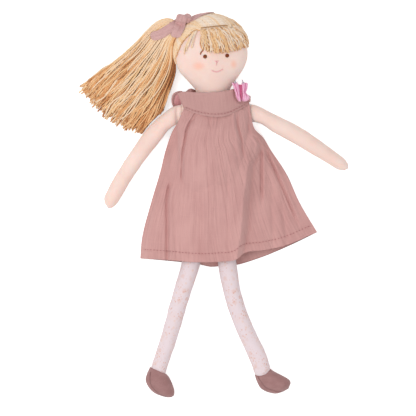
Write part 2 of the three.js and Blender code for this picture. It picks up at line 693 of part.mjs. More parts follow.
// Skirt: a front panel gathered under the yoke and a longer flat back panel, cut from edge curves
function edge(points) {
  const path = new THREE.CurvePath();
  for (let i = 1; i < points.length; i++) {
    path.add(new THREE.LineCurve(new THREE.Vector2(...points[i - 1]), new THREE.Vector2(...points[i])));
  }
  return (t) => path.getPoint(t);
}
function panel(drop) {
  const topY = (u) => yokeLower(u) - gap;
  const armhole = topY(0) - armholeDepth;
  const rightEdge = edge([
    [-yokeHalf, topY(0)],
    [-yokeHalf, armhole],
    [-yokeHalf - armpitFlare, armhole - armpitFlare],
    [-rightHem, -hemDrop],
  ]);
  const leftEdge = edge([
    [yokeHalf, topY(1)],
    [yokeHalf, armhole],
    [yokeHalf + armpitFlare, armhole - armpitFlare],
    [leftHem, hemLift - hemDrop],
  ]);
  const hem = (u) => {
    const x = lerp(-rightHem, leftHem, u);
    const lift = (Math.max(0, x - hemLiftStart) * hemLift) / (leftHem - hemLiftStart);
    return [x, lift - hemDrop - (drop - hemDrop) * 4 * u * (1 - u)];
  };
  return (u, v) => {
    const top = [lerp(-yokeHalf, yokeHalf, u), topY(u)];
    const low = hem(u);
    const right = rightEdge(v);
    const left = leftEdge(v);
    const corners = (a, b, c, d) => lerp(lerp(a, b, u), lerp(c, d, u), v);
    const x = corners(-yokeHalf, yokeHalf, -rightHem, leftHem);
    const y = corners(topY(0), topY(1), hem(0)[1], hem(1)[1]);
    return [
      lerp(top[0], low[0], v) + lerp(right.x, left.x, u) - x,
      lerp(top[1], low[1], v) + lerp(right.y, left.y, u) - y,
    ];
  };
}

// Drape of the skirt: corners across it at stations down its length, joined by straight slopes. Each row gives y, then
// the height near the right edge, over the right hip, in the middle, on the main ridge and in the valley beside it
const drapes = [
  [-hemDrop, 11, 18.8, 20.8, 23.2, 17.4],
  [-25, 11, 19.2, 22.2, 24.8, 17.4],
  [5, 11, 20.6, 26.2, 27.2, 17.4],
  [40, 12, 23, 35, 26.2, 17.8],
  [60, 13, 23, 35.5, 22, 17.8],
  [82, 14, 22.5, 35.5, 19.5, 17.5],
];
// Line of the ridge: y, then x
const ridgeLine = [
  [-hemDrop, 23],
  [-25, 28],
  [5, 30],
  [40, 34],
  [60, 38.5],
];
function between(rows, key, column) {
  let i = 1;
  while (i < rows.length - 1 && key > rows[i][0]) i++;
  const share = (key - rows[i - 1][0]) / (rows[i][0] - rows[i - 1][0]);
  return lerp(rows[i - 1][column], rows[i][column], THREE.MathUtils.clamp(share, 0, 1));
}
const frontPlan = panel(hemDrop);
function skirtHeight(x, y, u, v) {
  const [side, hip, middle, ridge, valley] = [1, 2, 3, 4, 5].map((column) => between(drapes, y, column));
  const [rightX] = frontPlan(0, v);
  const [leftX] = frontPlan(1, v);
  const ridgeX = Math.min(between(ridgeLine, y, 1), leftX - valleyWidth);
  const corners = [
    [rightX, bedTop],
    [Math.min(rightX + sideReach, -hipReach - sheet), side],
    [-hipReach, hip],
    [0, middle],
    [ridgeX, ridge],
    [ridgeX + valleyWidth - sheet, valley],
    [leftX, bedTop],
  ];
  const over = y > 0 ? chest(x, y) * (1 - smooth(Math.abs(x), shoulderX, shoulderX + drapeEase)) : 0;
  return Math.max(between(corners, x, 1), over, bedTop);
}
add("dress_front", "dress", cloth(32, 14, frontPlan, skirtHeight, sheet));
add("dress_back", "dress", cloth(12, 10, panel(backHemDrop), () => 0, sheet));

// Brooch: satin loops and tails round a tie, resting on the yoke near its end
const onYoke = (x, y) => (Math.abs(x) <= yokeHalf && y <= neckY + yokeTop ? chest(x, y) + sheet : -Infinity);
const broochX = yokeHalf - broochInset;
const broochY = neckY + 2;
const tie = ball(broochTie, broochTie, broochTie);
add("brooch_tie", "satin", rest(tie.translate(broochX, broochY, 0), onYoke));
for (const [name, side] of [["right", -1], ["left", 1]]) {
  const lobe = ball(broochLobe, broochLobe, broochLobe * 0.6);
  const lobeX = broochX + side * (broochLobe + gap);
  const lobeY = broochY - broochTie - broochLobe * 0.75;
  add(`brooch_lobe_${name}`, "satin", rest(lobe.translate(lobeX, lobeY, 0), onYoke));
  const lean = radians(90 - side * 24);
  const rootOut = broochTie + gap + broochTailWidth * 0.2;
  const root = at(broochX, broochY, 0).addScaledVector(compass(lean), rootOut);
  const stations = [[0.02, 0.3], [0.15, 0.75], [0.45, 1], [0.75, 0.8], [0.95, 0.4]].map(([t, share]) => ({
    centre: root.clone().addScaledVector(compass(lean), t * broochTail),
    heading: lean,
    half: (share * broochTailWidth) / 2,
    depth: (share * broochTailWidth) / 3,
  }));
  const end = root.clone().addScaledVector(compass(lean), broochTail);
  const petal = surface(stations.map((s) => ring(s, 0, 12)), [root, end]);
  add(`brooch_tail_${name}`, "satin", rest(petal, onYoke));
}

// The origin goes to the middle of the doll's outline on the surface that it lies on
const box = new THREE.Box3().setFromObject(doll);
const middle = box.getCenter(new THREE.Vector3());
doll.position.set(-middle.x, -middle.y, -box.min.z);

export default doll;
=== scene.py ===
"""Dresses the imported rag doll: stuffed cloth, yarn hair, a muslin dress, a ribbon and a satin brooch.

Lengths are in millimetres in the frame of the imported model, and turn into metres when a mesh is made.
"""
import json
import math
import random

import bpy
import numpy as np
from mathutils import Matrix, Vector, noise
from mathutils.bvhtree import BVHTree


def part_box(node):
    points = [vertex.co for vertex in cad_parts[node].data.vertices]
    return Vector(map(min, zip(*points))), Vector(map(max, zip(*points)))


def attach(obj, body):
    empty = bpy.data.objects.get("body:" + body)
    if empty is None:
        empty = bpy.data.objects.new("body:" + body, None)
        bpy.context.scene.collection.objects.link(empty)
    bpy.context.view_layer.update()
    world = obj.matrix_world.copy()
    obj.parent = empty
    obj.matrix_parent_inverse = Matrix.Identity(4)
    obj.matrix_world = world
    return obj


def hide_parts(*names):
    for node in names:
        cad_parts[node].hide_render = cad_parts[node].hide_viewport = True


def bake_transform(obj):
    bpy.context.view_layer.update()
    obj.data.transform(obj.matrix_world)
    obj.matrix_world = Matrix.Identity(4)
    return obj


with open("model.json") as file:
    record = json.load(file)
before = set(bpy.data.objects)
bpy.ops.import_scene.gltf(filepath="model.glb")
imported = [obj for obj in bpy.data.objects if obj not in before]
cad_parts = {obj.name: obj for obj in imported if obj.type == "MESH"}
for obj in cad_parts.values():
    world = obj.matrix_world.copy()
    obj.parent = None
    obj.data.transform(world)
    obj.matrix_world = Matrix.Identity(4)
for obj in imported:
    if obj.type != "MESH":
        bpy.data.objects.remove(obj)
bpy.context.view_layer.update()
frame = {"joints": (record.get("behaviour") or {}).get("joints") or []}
chance = random.Random(7)
MM = 0.001
UP = np.array([0.0, 0.0, 1.0])


# Places taken from the frame
def box(node):
    low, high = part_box(node)
    return np.array(low) / MM, np.array(high) / MM


def middle(node):
    low, high = box(node)
    return (low + high) / 2


def joint_place(name):
    joint = next(j for j in frame["joints"] if j["name"] == name)
    return 1000 * np.array(joint["pos_m"])


HIP = middle("hip_stitching")
SHOULDER_RIGHT = middle("shoulder_stitching_right")
SHOULDER_LEFT = middle("shoulder_stitching_left")
TIE = joint_place("ponytail_swing")
TORSO_LOW, TORSO_HIGH = box("torso_skin")
TORSO_MID = (TORSO_LOW + TORSO_HIGH) / 2

# Head and hair
HEAD_CENTRE = np.array([-4.1, 152.0, middle("head_skin")[2]])
HEAD_RADII = np.array([35.7, 35.6, 19.5])

# Radii of yarn and thread
YARN = 0.72
FRINGE_YARN = 0.5
LOCK_YARN = 0.46
TIE_STRIP = 0.75
THREAD = 0.32
EYE_THREAD = 0.42
SHOE_THREAD = 0.55
LOOSE_THREAD = 0.42
STRAND_SIDES = 6

# Cloth
MUSLIN = 1.2  # thickness, as is the ribbon's
RIBBON = 0.7
CHEST_REACH = 38.0  # from the middle of the chest to where the yoke has fallen to the shoulders' height
HEM_STITCHES = 8.5  # from the hem up to its stitching
HEM_LIFT = 0.55  # of the doubled cloth below the hem's stitching
STITCH_PITCH = 3.4
SEWN = (0.25, 1.5, 0.4)  # lift, length and radius of the dress's stitches


# Sums and curves
def smooth(low, high, x):
    """0 at low to 1 at high, in an S; low may be the greater of the two."""
    t = np.clip((np.asarray(x, float) - low) / (high - low), 0, 1)
    return t * t * (3 - 2 * t)


def lerp(a, b, t):
    return a + (b - a) * t


def unit(vectors):
    return vectors / np.linalg.norm(vectors, axis=-1, keepdims=True)


def hump(x, centre, width):
    """1 at the centre, falling to 0 within a few widths."""
    return np.exp(-(((x - centre) / width) ** 2))


def circle(sides):
    """Angles all the way round, one for each side."""
    return np.linspace(0, 2 * np.pi, sides, endpoint=False)


def distances(points):
    """How far along a line each of its points lies."""
    return np.concatenate([[0], np.cumsum(np.linalg.norm(np.diff(points, axis=0), axis=1))])


def grid_of(x, y, z):
    """Points from three coordinates, each of them a grid, a row, a column or one value."""
    return np.stack(np.broadcast_arrays(x, y, z), -1)


def ends_of(rings):
    """The middles of the first and the last ring."""
    return [rings[0].mean(0), rings[-1].mean(0)]


def through(points, count):
    """count points, evenly spaced, on a smooth curve through a few given ones of any dimension."""
    given = np.array(points, float)
    t = distances(given)
    slope = np.gradient(given, t, axis=0)
    s = np.linspace(0, t[-1], count)
    i = np.clip(np.searchsorted(t, s, side="right") - 1, 0, len(t) - 2)
    span = (t[i + 1] - t[i])[:, None]
    x = (s - t[i])[:, None] / span
    ends = (1 + 2 * x) * (1 - x) ** 2 * given[i] + x * x * (3 - 2 * x) * given[i + 1]
    bends = x * (1 - x) ** 2 * slope[i] + x * x * (x - 1) * slope[i + 1]
    return ends + span * bends


def ripple(points, size, offset):
    """Smooth noise from -1 to 1 at each point, with waves of about that size."""
    shift = Vector((offset, 2 * offset, -offset))
    values = [noise.noise(Vector(p) + shift) for p in (points / size).reshape(-1, 3).tolist()]
    return np.array(values).reshape(points.shape[:-1])


def softened(grid, width):
    """Evens out each row of heights over that many columns."""
    kernel = np.hanning(2 * width + 1)
    kernel /= kernel.sum()
    return np.stack([np.convolve(np.pad(line, width, "edge"), kernel, "valid") for line in grid])


# Meshes
def quads(rows, columns, wrap=False):
    """The corners of a grid's quads, as index and as (column, row)."""
    i, j = np.meshgrid(np.arange(rows - 1), np.arange(columns if wrap else columns - 1), indexing="ij")
    row = np.stack([i, i, i + 1, i + 1], -1).reshape(-1, 4)
    column = np.stack([j, j + 1, j + 1, j], -1).reshape(-1, 4)
    return row * columns + column % columns, np.stack([column, row], -1)


def add_piece(name, points, faces, finish, uv=None, tone=None):
    data = bpy.data.meshes.new(name)
    data.from_pydata((np.asarray(points, float) * MM).tolist(), [], faces)
    data.polygons.foreach_set("use_smooth", [True] * len(data.polygons))
    if uv is not None:
        layer = data.uv_layers.new(name="cloth")
        layer.data.foreach_set("uv", np.asarray(uv, np.float32).ravel())
    if tone is not None:
        attribute = data.attributes.new("tone", "FLOAT", "POINT")
        attribute.data.foreach_set("value", np.asarray(tone, np.float32).ravel())
    data.materials.append(finish)
    data.update()
    piece = bpy.data.objects.new(f"made_{name}", data)
    bpy.context.scene.collection.objects.link(piece)
    return piece


def fixed(piece, body, *nodes):
    """Puts the piece in place of the nodes, and on one body."""
    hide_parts(*nodes)
    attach(piece, body)


def tree_of(piece):
    """The piece's faces, to cast rays on."""
    points = [v.co.copy() for v in piece.data.vertices]
    return BVHTree.FromPolygons(points, [p.vertices for p in piece.data.polygons])


def lofted(name, rings, tips, finish):
    """A closed form through rings of points, with a point at each end. Its map is in millimetres."""
    count, sides = rings.shape[:2]
    along = distances(rings.mean(1))
    girth = np.linalg.norm(np.diff(rings[count // 2], axis=0), axis=1).sum() / sides
    index, place = quads(count, sides, wrap=True)
    uv = [np.stack([place[..., 0] * girth, along[place[..., 1]]], -1).reshape(-1, 2)]
    faces = index.tolist()
    for end, row in ((0, 0), (1, count - 1)):
        tip = count * sides + end
        for k in range(sides):
            corner = [row * sides + k, row * sides + (k + 1) % sides]
            faces.append([tip, *(corner[::-1] if end == 0 else corner)])
            uv.append([[k * girth, along[row]]] * 3)
    points = np.concatenate([rings.reshape(-1, 3), np.asarray(tips, float)])
    return add_piece(name, points, faces, finish, np.concatenate(uv))


SEAM_WIDTH = 0.16  # of a sewn edge's ridge, as a share of the form's half depth


def stuffed(pairs, rings=70, sides=36, seam=0.35):
    """Rings of a stuffed form, from pairs of points on its edges: x, y, x, y, middle's height, half depth.
    A low ridge runs along both edges, where its front and back are sewn together."""
    stations = through(pairs, rings)
    right, left = stations[:, 0:2], stations[:, 2:4]
    centre = np.column_stack([(right + left) / 2, stations[:, 4]])
    across = np.column_stack([(right - left) / 2, np.zeros(rings)])
    c, s = np.cos(circle(sides)), np.sin(circle(sides))
    half = np.linalg.norm(across, axis=1)[:, None, None]
    ridge = 1 + seam * hump(s, 0, SEAM_WIDTH)[None, :, None] / half
    flat = centre[:, None] + across[:, None] * c[None, :, None] * ridge
    return flat + UP * np.abs(stations[:, 5])[:, None, None] * s[None, :, None]


def wrinkled(rings, height, size, offset):
    """Moves the rings in and out a little, as stuffing and pulled cloth do."""
    out = unit(rings - rings.mean(1, keepdims=True) + 1e-6)
    return rings + out * (height * ripple(rings, size, offset))[..., None]


def flat_size(rows):
    """Mean width and length of a sheet along its surface."""
    wide = np.linalg.norm(np.diff(rows, axis=1), axis=2).sum(1).mean()
    long = np.linalg.norm(np.diff(rows, axis=0), axis=2).sum(0).mean()
    return float(wide), float(long)


def normals(rows):
    return unit(np.cross(np.gradient(rows, axis=1), np.gradient(rows, axis=0)))


def cloth(name, rows, thickness, finish, up=1, inside=None):
    """A sheet of that thickness under a grid of points; up is -1 where the grid's normals point down.
    inside tells how far each point shows the cloth's inner side."""
    count, columns = rows.shape[:2]
    under = rows - up * normals(rows) * thickness
    wide, long = flat_size(rows)
    index, place = quads(count, columns)
    size = count * columns
    rim = list(range(columns))
    rim += [i * columns + columns - 1 for i in range(1, count)]
    rim += [(count - 1) * columns + j for j in range(columns - 2, -1, -1)]
    rim += [i * columns for i in range(count - 2, 0, -1)]
    edge = np.array([[a, b, size + b, size + a] for a, b in zip(rim, rim[1:] + rim[:1])])
    edge_place = np.stack([edge % size % columns, edge % size // columns], -1)
    uv = np.concatenate([place, place[:, ::-1], edge_place]).astype(float)
    faces = np.concatenate([index, index[:, ::-1] + size, edge]).tolist()
    points = np.concatenate([rows.reshape(-1, 3), under.reshape(-1, 3)])
    tone = None if inside is None else np.tile(np.ravel(inside), 2)
    uv *= [wide / (columns - 1), long / (count - 1)]
    return add_piece(name, points, faces, finish, uv, tone)


def tubes(paths, radius):
    """Rings round several paths of as many points each: strand, step, side, xyz."""
    ahead = unit(np.gradient(paths, axis=1))
    out = unit(np.cross(ahead[:, 0], [0.31, 0.17, 0.93]))
    angle = circle(STRAND_SIDES)
    rings = []
    for step in range(paths.shape[1]):
        tangent = ahead[:, step]
        out = unit(out - tangent * (out * tangent).sum(1, keepdims=True))
        side = np.cross(tangent, out)
        turn = out[:, None] * np.cos(angle)[None, :, None] + side[:, None] * np.sin(angle)[None, :, None]
        rings.append(paths[:, step, None] + turn * radius)
    return np.stack(rings, 1)


def strands(name, paths, radius, finish, tone=None):
    """Many threads or strands of yarn in one piece, each with closed ends, and a tone or a tone per step."""
    paths = np.asarray(paths, float)
    rings = tubes(paths, radius)
    total, steps, sides = rings.shape[:3]
    index, place = quads(steps, sides, wrap=True)
    length = np.linalg.norm(np.diff(paths, axis=1), axis=2).sum(1)
    faces = []
    uv = []
    for k in range(total):
        start = k * steps * sides
        faces += (index + start).tolist()
        scale = [2 * np.pi * YARN / sides, length[k] / (steps - 1)]
        uv.append((place * scale).reshape(-1, 2))
        last = start + (steps - 1) * sides
        faces.append(list(range(start, start + sides))[::-1])
        faces.append(list(range(last, last + sides)))
        uv.append(np.zeros((2 * sides, 2)))
    shades = None if tone is None else np.repeat(np.ravel(tone), total * steps * sides // np.size(tone))
    return add_piece(name, rings.reshape(-1, 3), faces, finish, np.concatenate(uv), shades)


def stitches(name, line, finish, slot, lift, length, radius):
    """A running stitch along a dense line of points: short threads that dip at both ends."""
    along = distances(line)
    paths = []
    for start in np.arange(STITCH_PITCH / 2, along[-1] - length, STITCH_PITCH):
        s = start + np.linspace(0, length, 6)
        path = np.stack([np.interp(s, along, line[:, k]) for k in range(3)], 1)
        path[:, 2] += lift * np.array([-2.2, 0.4, 1, 1, 0.4, -2.2])
        paths.append(path)
    return strands(name, paths, radius, finish)


# Finishes
def colour(red, green, blue):
    """The shader's colour for the usual values from 0 to 255."""
    share = np.array([red, green, blue]) / 255
    linear = np.where(share <= 0.04045, share / 12.92, ((share + 0.055) / 1.055) ** 2.4)
    return (*linear.tolist(), 1.0)


class Finish:
    """A procedural material: its shader, and short calls that add texture to it."""

    def __init__(self, name, roughness, sockets=()):
        self.material = bpy.data.materials.new(name)
        self.material.use_nodes = True
        self.tree = self.material.node_tree
        self.shader = self.tree.nodes["Principled BSDF"]
        self.shader.inputs["Roughness"].default_value = roughness
        for key, value in dict(sockets).items():
            self.shader.inputs[key].default_value = value

    def add(self, kind, inputs=(), output=0, **settings):
        made = self.tree.nodes.new("ShaderNode" + kind)
        for key, value in settings.items():
            setattr(made, key, value)
        for key, value in dict(inputs).items():
            if isinstance(value, bpy.types.NodeSocket):
                self.tree.links.new(value, made.inputs[key])
            else:
                made.inputs[key].default_value = value
        return made.outputs[output]

    def paint(self, socket):
        self.tree.links.new(socket, self.shader.inputs["Base Color"])

    def place(self, kind, scale=(1, 1, 1), turn=0.0):
        """Object places in metres or the cloth's own map in millimetres, scaled."""
        source = self.add("TexCoord", output={"object": 3, "map": 2}[kind])
        return self.add("Mapping", {"Vector": source, "Scale": scale, "Rotation": (0, 0, turn)})

    def noise(self, vector, scale=1.0, detail=2.0):
        return self.add("TexNoise", {"Vector": vector, "Scale": scale, "Detail": detail})

    def wave(self, vector, scale, direction):
        return self.add("TexWave", {"Vector": vector, "Scale": scale}, output=1, bands_direction=direction)

    def sum(self, kind, a, b):
        return self.add("Math", {0: a, 1: b}, operation=kind)

    def ramp(self, value, low, high, to=(0.0, 1.0)):
        inputs = {"Value": value, "From Min": low, "From Max": high, "To Min": to[0], "To Max": to[1]}
        return self.add("MapRange", inputs, interpolation_type="SMOOTHSTEP")

    @staticmethod
    def tint(a, b, share):
        """A colour between two."""
        return tuple(lerp(p, q, share) for p, q in zip(a, b))

    def mix(self, factor, a, b):
        return self.add("Mix", {0: factor, 6: a, 7: b}, output=2, data_type="RGBA")

    def bump(self, height, strength, distance):
        inputs = {"Height": height, "Strength": strength, "Distance": distance * MM}
        self.tree.links.new(self.add("Bump", inputs), self.shader.inputs["Normal"])


# pinker lining of the gaping strap, made lighter as painted light falling into its inside
LIT_LINING = colour(228, 162, 166)
CHEEKS = ((-17.0, 137.2, 8.0, 5.0), (18.2, 139.0, 4.6, 5.6))  # x, y, half width, half height
CHEEK_HEIGHT = 41.0
FUZZ = {"Sheen Weight": 0.25, "Sheen Roughness": 0.5, "Specular IOR Level": 0.15}


def skin_finish():
    """Peach jersey with fine ribs of knitting, and a blush on both cheeks."""
    glow = {"Subsurface Weight": 0.25, "Subsurface Radius": (1.0, 0.45, 0.3), "Subsurface Scale": 0.004}
    finish = Finish("peach_jersey", 0.9, FUZZ | glow)
    ribs = finish.wave(finish.place("object", (1, 1, 1)), 260, "X")
    rows = finish.wave(finish.place("object", (1, 1, 1)), 330, "Y")
    knit = finish.sum("MULTIPLY", ribs, rows)
    patchy = finish.noise(finish.place("object"), 45, 3)
    base = finish.mix(finish.ramp(patchy, 0.3, 0.7), colour(243, 213, 202), colour(247, 222, 212))
    base = finish.mix(finish.ramp(knit, 0.0, 1.0, (0.0, 0.22)), base, colour(232, 196, 184))
    for x, y, wide, tall in CHEEKS:
        source = finish.add("TexCoord", output=3)
        back = (-x * MM, -y * MM, -CHEEK_HEIGHT * MM)
        shift = finish.add("VectorMath", {0: source, 1: back}, operation="ADD")
        size = (1000 / wide, 1000 / tall, 60)
        scaled = finish.add("VectorMath", {0: shift, 1: size}, operation="MULTIPLY")
        distance = finish.add("VectorMath", {0: scaled}, output=1, operation="LENGTH")
        base = finish.mix(finish.ramp(distance, 0.1, 1.15, (0.75, 0.0)), base, colour(250, 190, 168))
    finish.paint(base)
    finish.bump(finish.sum("ADD", knit, patchy), 0.25, 0.25)
    return finish.material


def muslin_finish(name, dark, light, scale=1.0):
    """Double gauze: an open weave with fine crinkles along the warp and a few slubs across."""
    finish = Finish(name, 0.95, FUZZ)
    crinkle = finish.noise(finish.place("map", (0.7 * scale, 0.03 * scale, 1)), 1.0, 3)
    slub = finish.noise(finish.place("map", (0.04 * scale, 0.9 * scale, 1)), 1.0, 3)
    warp = finish.wave(finish.place("map"), 0.33, "X")
    weft = finish.wave(finish.place("map"), 0.33, "Y")
    weave = finish.sum("MULTIPLY", warp, weft)
    cloud = finish.noise(finish.place("map", (0.04, 0.025, 1)), 1.0, 2)
    shadow = finish.tint(dark, light, 0.35)
    gleam = finish.tint(dark, light, 0.75)
    base = finish.mix(finish.ramp(cloud, 0.3, 0.7), shadow, gleam)
    base = finish.mix(finish.ramp(crinkle, 0.4, 0.7, (0.0, 0.55)), base, light)
    base = finish.mix(finish.ramp(crinkle, 0.45, 0.2, (0.0, 0.6)), base, dark)
    base = finish.mix(finish.ramp(slub, 0.5, 0.8, (0.0, 0.3)), base, light)
    base = finish.mix(finish.ramp(slub, 0.42, 0.2, (0.0, 0.3)), base, dark)
    inside = finish.add("Attribute", output=2, attribute_name="tone")
    # where the inside shows: the lining's colour, lightened as painted light
    base = finish.mix(finish.sum("MULTIPLY", inside, 0.75), base, LIT_LINING)
    finish.paint(finish.mix(finish.ramp(weave, 0.5, 1.0, (0.0, 0.25)), base, light))
    height = finish.sum("ADD", crinkle, finish.sum("MULTIPLY", weave, 0.4))
    finish.bump(finish.sum("ADD", height, finish.sum("MULTIPLY", slub, 0.4)), 0.5, 0.9)
    return finish.material


def yarn_finish():
    """Plied cotton yarn: each strand has its own tone, in part painted shade where strands lie under or
    beside others, and its plies wind round it.
    """
    finish = Finish("beige_yarn", 0.85, {"Sheen Weight": 0.15, "Specular IOR Level": 0.2})
    tone = finish.add("Attribute", output=2, attribute_name="tone")
    plies = finish.wave(finish.place("map", (0.42, 0.18, 1)), 1.0, "DIAGONAL")
    fluff = finish.noise(finish.place("object"), 900, 2)
    # the darkest tones render the painted shade in the hair
    shade = finish.mix(finish.ramp(tone, 0.0, 0.5), colour(172, 102, 52), colour(230, 168, 110))
    shade = finish.mix(finish.ramp(tone, 0.4, 0.85), shade, colour(248, 209, 160))
    base = finish.mix(finish.ramp(tone, 0.8, 1.0), shade, colour(252, 240, 228))
    base = finish.mix(finish.ramp(plies, 0.1, 0.9, (0.16, 0.0)), base, colour(176, 116, 66))
    finish.paint(finish.mix(finish.ramp(fluff, 0.4, 0.8, (0.0, 0.2)), base, colour(250, 222, 184)))
    finish.bump(finish.sum("ADD", plies, fluff), 0.5, 0.25)
    return finish.material


def thread_finish(name, dark, light, roughness=0.6):
    """Twisted sewing thread."""
    finish = Finish(name, roughness, {"Specular IOR Level": 0.3})
    twist = finish.wave(finish.place("map", (1.1, 0.9, 1)), 1.0, "DIAGONAL")
    finish.paint(finish.mix(twist, dark, light))
    finish.bump(twist, 0.5, 0.15)
    return finish.material


def satin_finish(name, dark, light):
    """Satin ribbon: fine floats along its length, with a soft gloss, and lighter streaks along the floats as
    painted sheen.
    """
    finish = Finish(name, 0.3, {"Specular IOR Level": 0.6, "Sheen Weight": 0.1, "Anisotropic": 0.5})
    floats_and_sheen = finish.noise(finish.place("map", (2.2, 0.08, 1)), 1.0, 2)
    # the lighter streaks are painted sheen along the floats
    finish.paint(finish.mix(finish.ramp(floats_and_sheen, 0.38, 0.62), dark, light))
    finish.bump(floats_and_sheen, 0.35, 0.3)
    return finish.material


def tights_finish():
    """White knit with ribs, printed all over with small soft blots and fine dots in pale warm tones."""
    finish = Finish("printed_knit", 0.9, FUZZ)
    ribs = finish.wave(finish.place("map"), 0.42, "X")
    rows = finish.wave(finish.place("map"), 0.5, "Y")
    knit = finish.sum("MULTIPLY", ribs, rows)
    base = finish.mix(finish.ramp(knit, 0.2, 1.0, (0.0, 0.4)), colour(232, 215, 219), colour(246, 236, 238))
    wash = finish.noise(finish.place("map", (0.12, 0.1, 1)), 1.0, 2)
    base = finish.mix(finish.ramp(wash, 0.45, 0.7, (0.0, 0.45)), base, colour(234, 208, 204))
    patch = finish.noise(finish.place("map", (0.09, 0.07, 1), 0.6), 1.0, 1)
    sprinkled = finish.ramp(patch, 0.45, 0.6)
    # scale, turn, size and weight of the blots, and their ink; the finest are only sprinkled here and there
    prints = (
        (0.15, 0.3, 0.42, 0.5, colour(228, 190, 180)),
        (0.22, 1.1, 0.34, 0.45, colour(232, 194, 172)),
        (0.52, 0.5, 0.46, 0.85, colour(222, 166, 146)),
    )
    for scale, turn, size, weight, ink in prints:
        bent = finish.place("map", (scale, scale * 0.85, 1), turn)
        spots = finish.add("TexVoronoi", {"Vector": bent, "Scale": 1.0, "Randomness": 0.85})
        share = finish.ramp(spots, size * 0.3, size, (weight, 0.0))
        base = finish.mix(finish.sum("MULTIPLY", share, sprinkled) if scale > 0.5 else share, base, ink)
    finish.paint(base)
    finish.bump(knit, 0.3, 0.25)
    return finish.material


def brushed_finish():
    """Brushed mauve cloth with a short, even nap."""
    soft = {"Sheen Weight": 0.35, "Sheen Roughness": 0.4, "Specular IOR Level": 0.1}
    finish = Finish("brushed_cloth", 0.95, soft)
    nap = finish.noise(finish.place("object", (1, 1.6, 1)), 110, 3)
    grain = finish.noise(finish.place("object"), 1300, 2)
    base = finish.mix(finish.ramp(nap, 0.3, 0.72), colour(160, 120, 118), colour(172, 132, 130))
    finish.paint(finish.mix(finish.ramp(grain, 0.35, 0.75, (0.0, 0.3)), base, colour(146, 106, 105)))
    finish.bump(finish.sum("ADD", finish.sum("MULTIPLY", nap, 0.4), grain), 0.35, 0.3)
    return finish.material


SKIN = skin_finish()
DRESS = muslin_finish("rose_muslin", colour(191, 141, 138), colour(216, 168, 163))
YOKE_CLOTH = muslin_finish("lined_muslin", colour(184, 138, 135), colour(207, 162, 157), 1.8)
RIBBON_CLOTH = muslin_finish("mauve_muslin", colour(195, 148, 147), colour(220, 180, 176), 1.6)
HAIR = yarn_finish()
PALE_THREAD = thread_finish("pale_thread", colour(232, 186, 164), colour(242, 206, 188))
ROSE_THREAD = thread_finish("rose_thread", colour(172, 112, 114), colour(198, 142, 142))
BROWN_THREAD = thread_finish("brown_thread", colour(112, 46, 16), colour(150, 78, 38), 0.5)
BROW_THREAD = thread_finish("brow_thread", colour(150, 88, 62), colour(182, 118, 90))
PINK_THREAD = thread_finish("pink_thread", colour(238, 170, 172), colour(247, 198, 196))
PART_THREAD = thread_finish("parting_thread", colour(160, 108, 58), colour(192, 144, 92))
SEAM_THREAD = thread_finish("seam_thread", colour(126, 88, 86), colour(152, 112, 110), 0.8)
SATIN = satin_finish("pink_satin", colour(226, 142, 182), colour(250, 196, 220))
DEEP_SATIN = satin_finish("deep_pink_satin", colour(180, 58, 108), colour(218, 100, 140))
SILVER = thread_finish("silver_thread", colour(160, 146, 158), colour(206, 192, 204), 0.35)
TIGHTS = tights_finish()
SHOE = brushed_finish()


# Head
def head_sections():
    """Stations from the neck to the crown: an upside-down drop whose upper half is an ellipsoid."""
    low = [
        (-17.0, 95.0, 11.8, 95.0, 18.5, 6.0),
        (-18.8, 104.0, 13.2, 104.0, 18.5, 10.5),
        (-20.1, 114.0, 14.6, 115.0, 19.0, 12.5),
        (-24.8, 120.0, 18.0, 121.0, 20.0, 14.2),
        (-30.8, 126.5, 22.6, 127.5, 21.2, 16.2),
        (-36.8, 134.0, 27.4, 135.0, 22.3, 18.2),
        (-39.2, 143.0, 30.8, 143.5, 22.7, 19.2),
    ]
    high = []
    for angle in np.radians([0, 12, 24, 36, 48, 58, 67, 75, 82, 87]):
        half = HEAD_RADII[0] * math.cos(angle)
        y = HEAD_CENTRE[1] + HEAD_RADII[1] * math.sin(angle)
        depth = HEAD_RADII[2] * math.cos(angle)
        high.append((HEAD_CENTRE[0] - half, y, HEAD_CENTRE[0] + half, y, HEAD_CENTRE[2], depth))
    return low + high


def make_head():
    rings = stuffed(head_sections(), rings=90, sides=56, seam=0.3)
    rings = wrinkled(rings, height=0.35, size=16, offset=3.1)
    crown = HEAD_CENTRE + [0, HEAD_RADII[1], 0]
    head = lofted("head", rings, [rings[0].mean(0), crown], SKIN)
    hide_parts("head_skin", "head_stuffing")
    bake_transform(head)
    return tree_of(head)


def on_ball(x, y, side=1):
    """The direction from the head's middle to a place seen from the front, or from behind with side -1."""
    flat = (np.array([x, y]) - HEAD_CENTRE[:2]) / HEAD_RADII[:2]
    reach = np.linalg.norm(flat)
    if reach > 0.999:
        flat = flat * 0.999 / reach
    return np.array([flat[0], flat[1], side * math.sqrt(1 - flat @ flat)])


def lifted(direction, lift):
    return HEAD_CENTRE + direction * (HEAD_RADII + np.asarray(lift)[..., None])


def on_face(face, x, y, lift):
    """The point of the face at a place seen from the front, raised from it."""
    spot, normal, _, _ = face.ray_cast(Vector((x * MM, y * MM, 1.0)), Vector((0, 0, -1)))
    return np.array(spot) / MM + np.array(normal) * lift


def make_eye(face, name, x, y):
    """Satin stitch: threads laid side by side over a small dome."""
    radius = 1.8
    paths = []
    for across in np.linspace(-0.86, 0.86, 7):
        half = radius * math.sqrt(1 - across**2)
        steps = np.linspace(-half, half, 7)
        dome = [0.5 * (1 - (across**2 + (s / radius) ** 2)) + 0.1 for s in steps]
        paths.append([on_face(face, x + across * radius, y + s, h) for s, h in zip(steps, dome)])
    eye = strands(name, paths, EYE_THREAD, BROWN_THREAD)
    fixed(eye, "head", name)


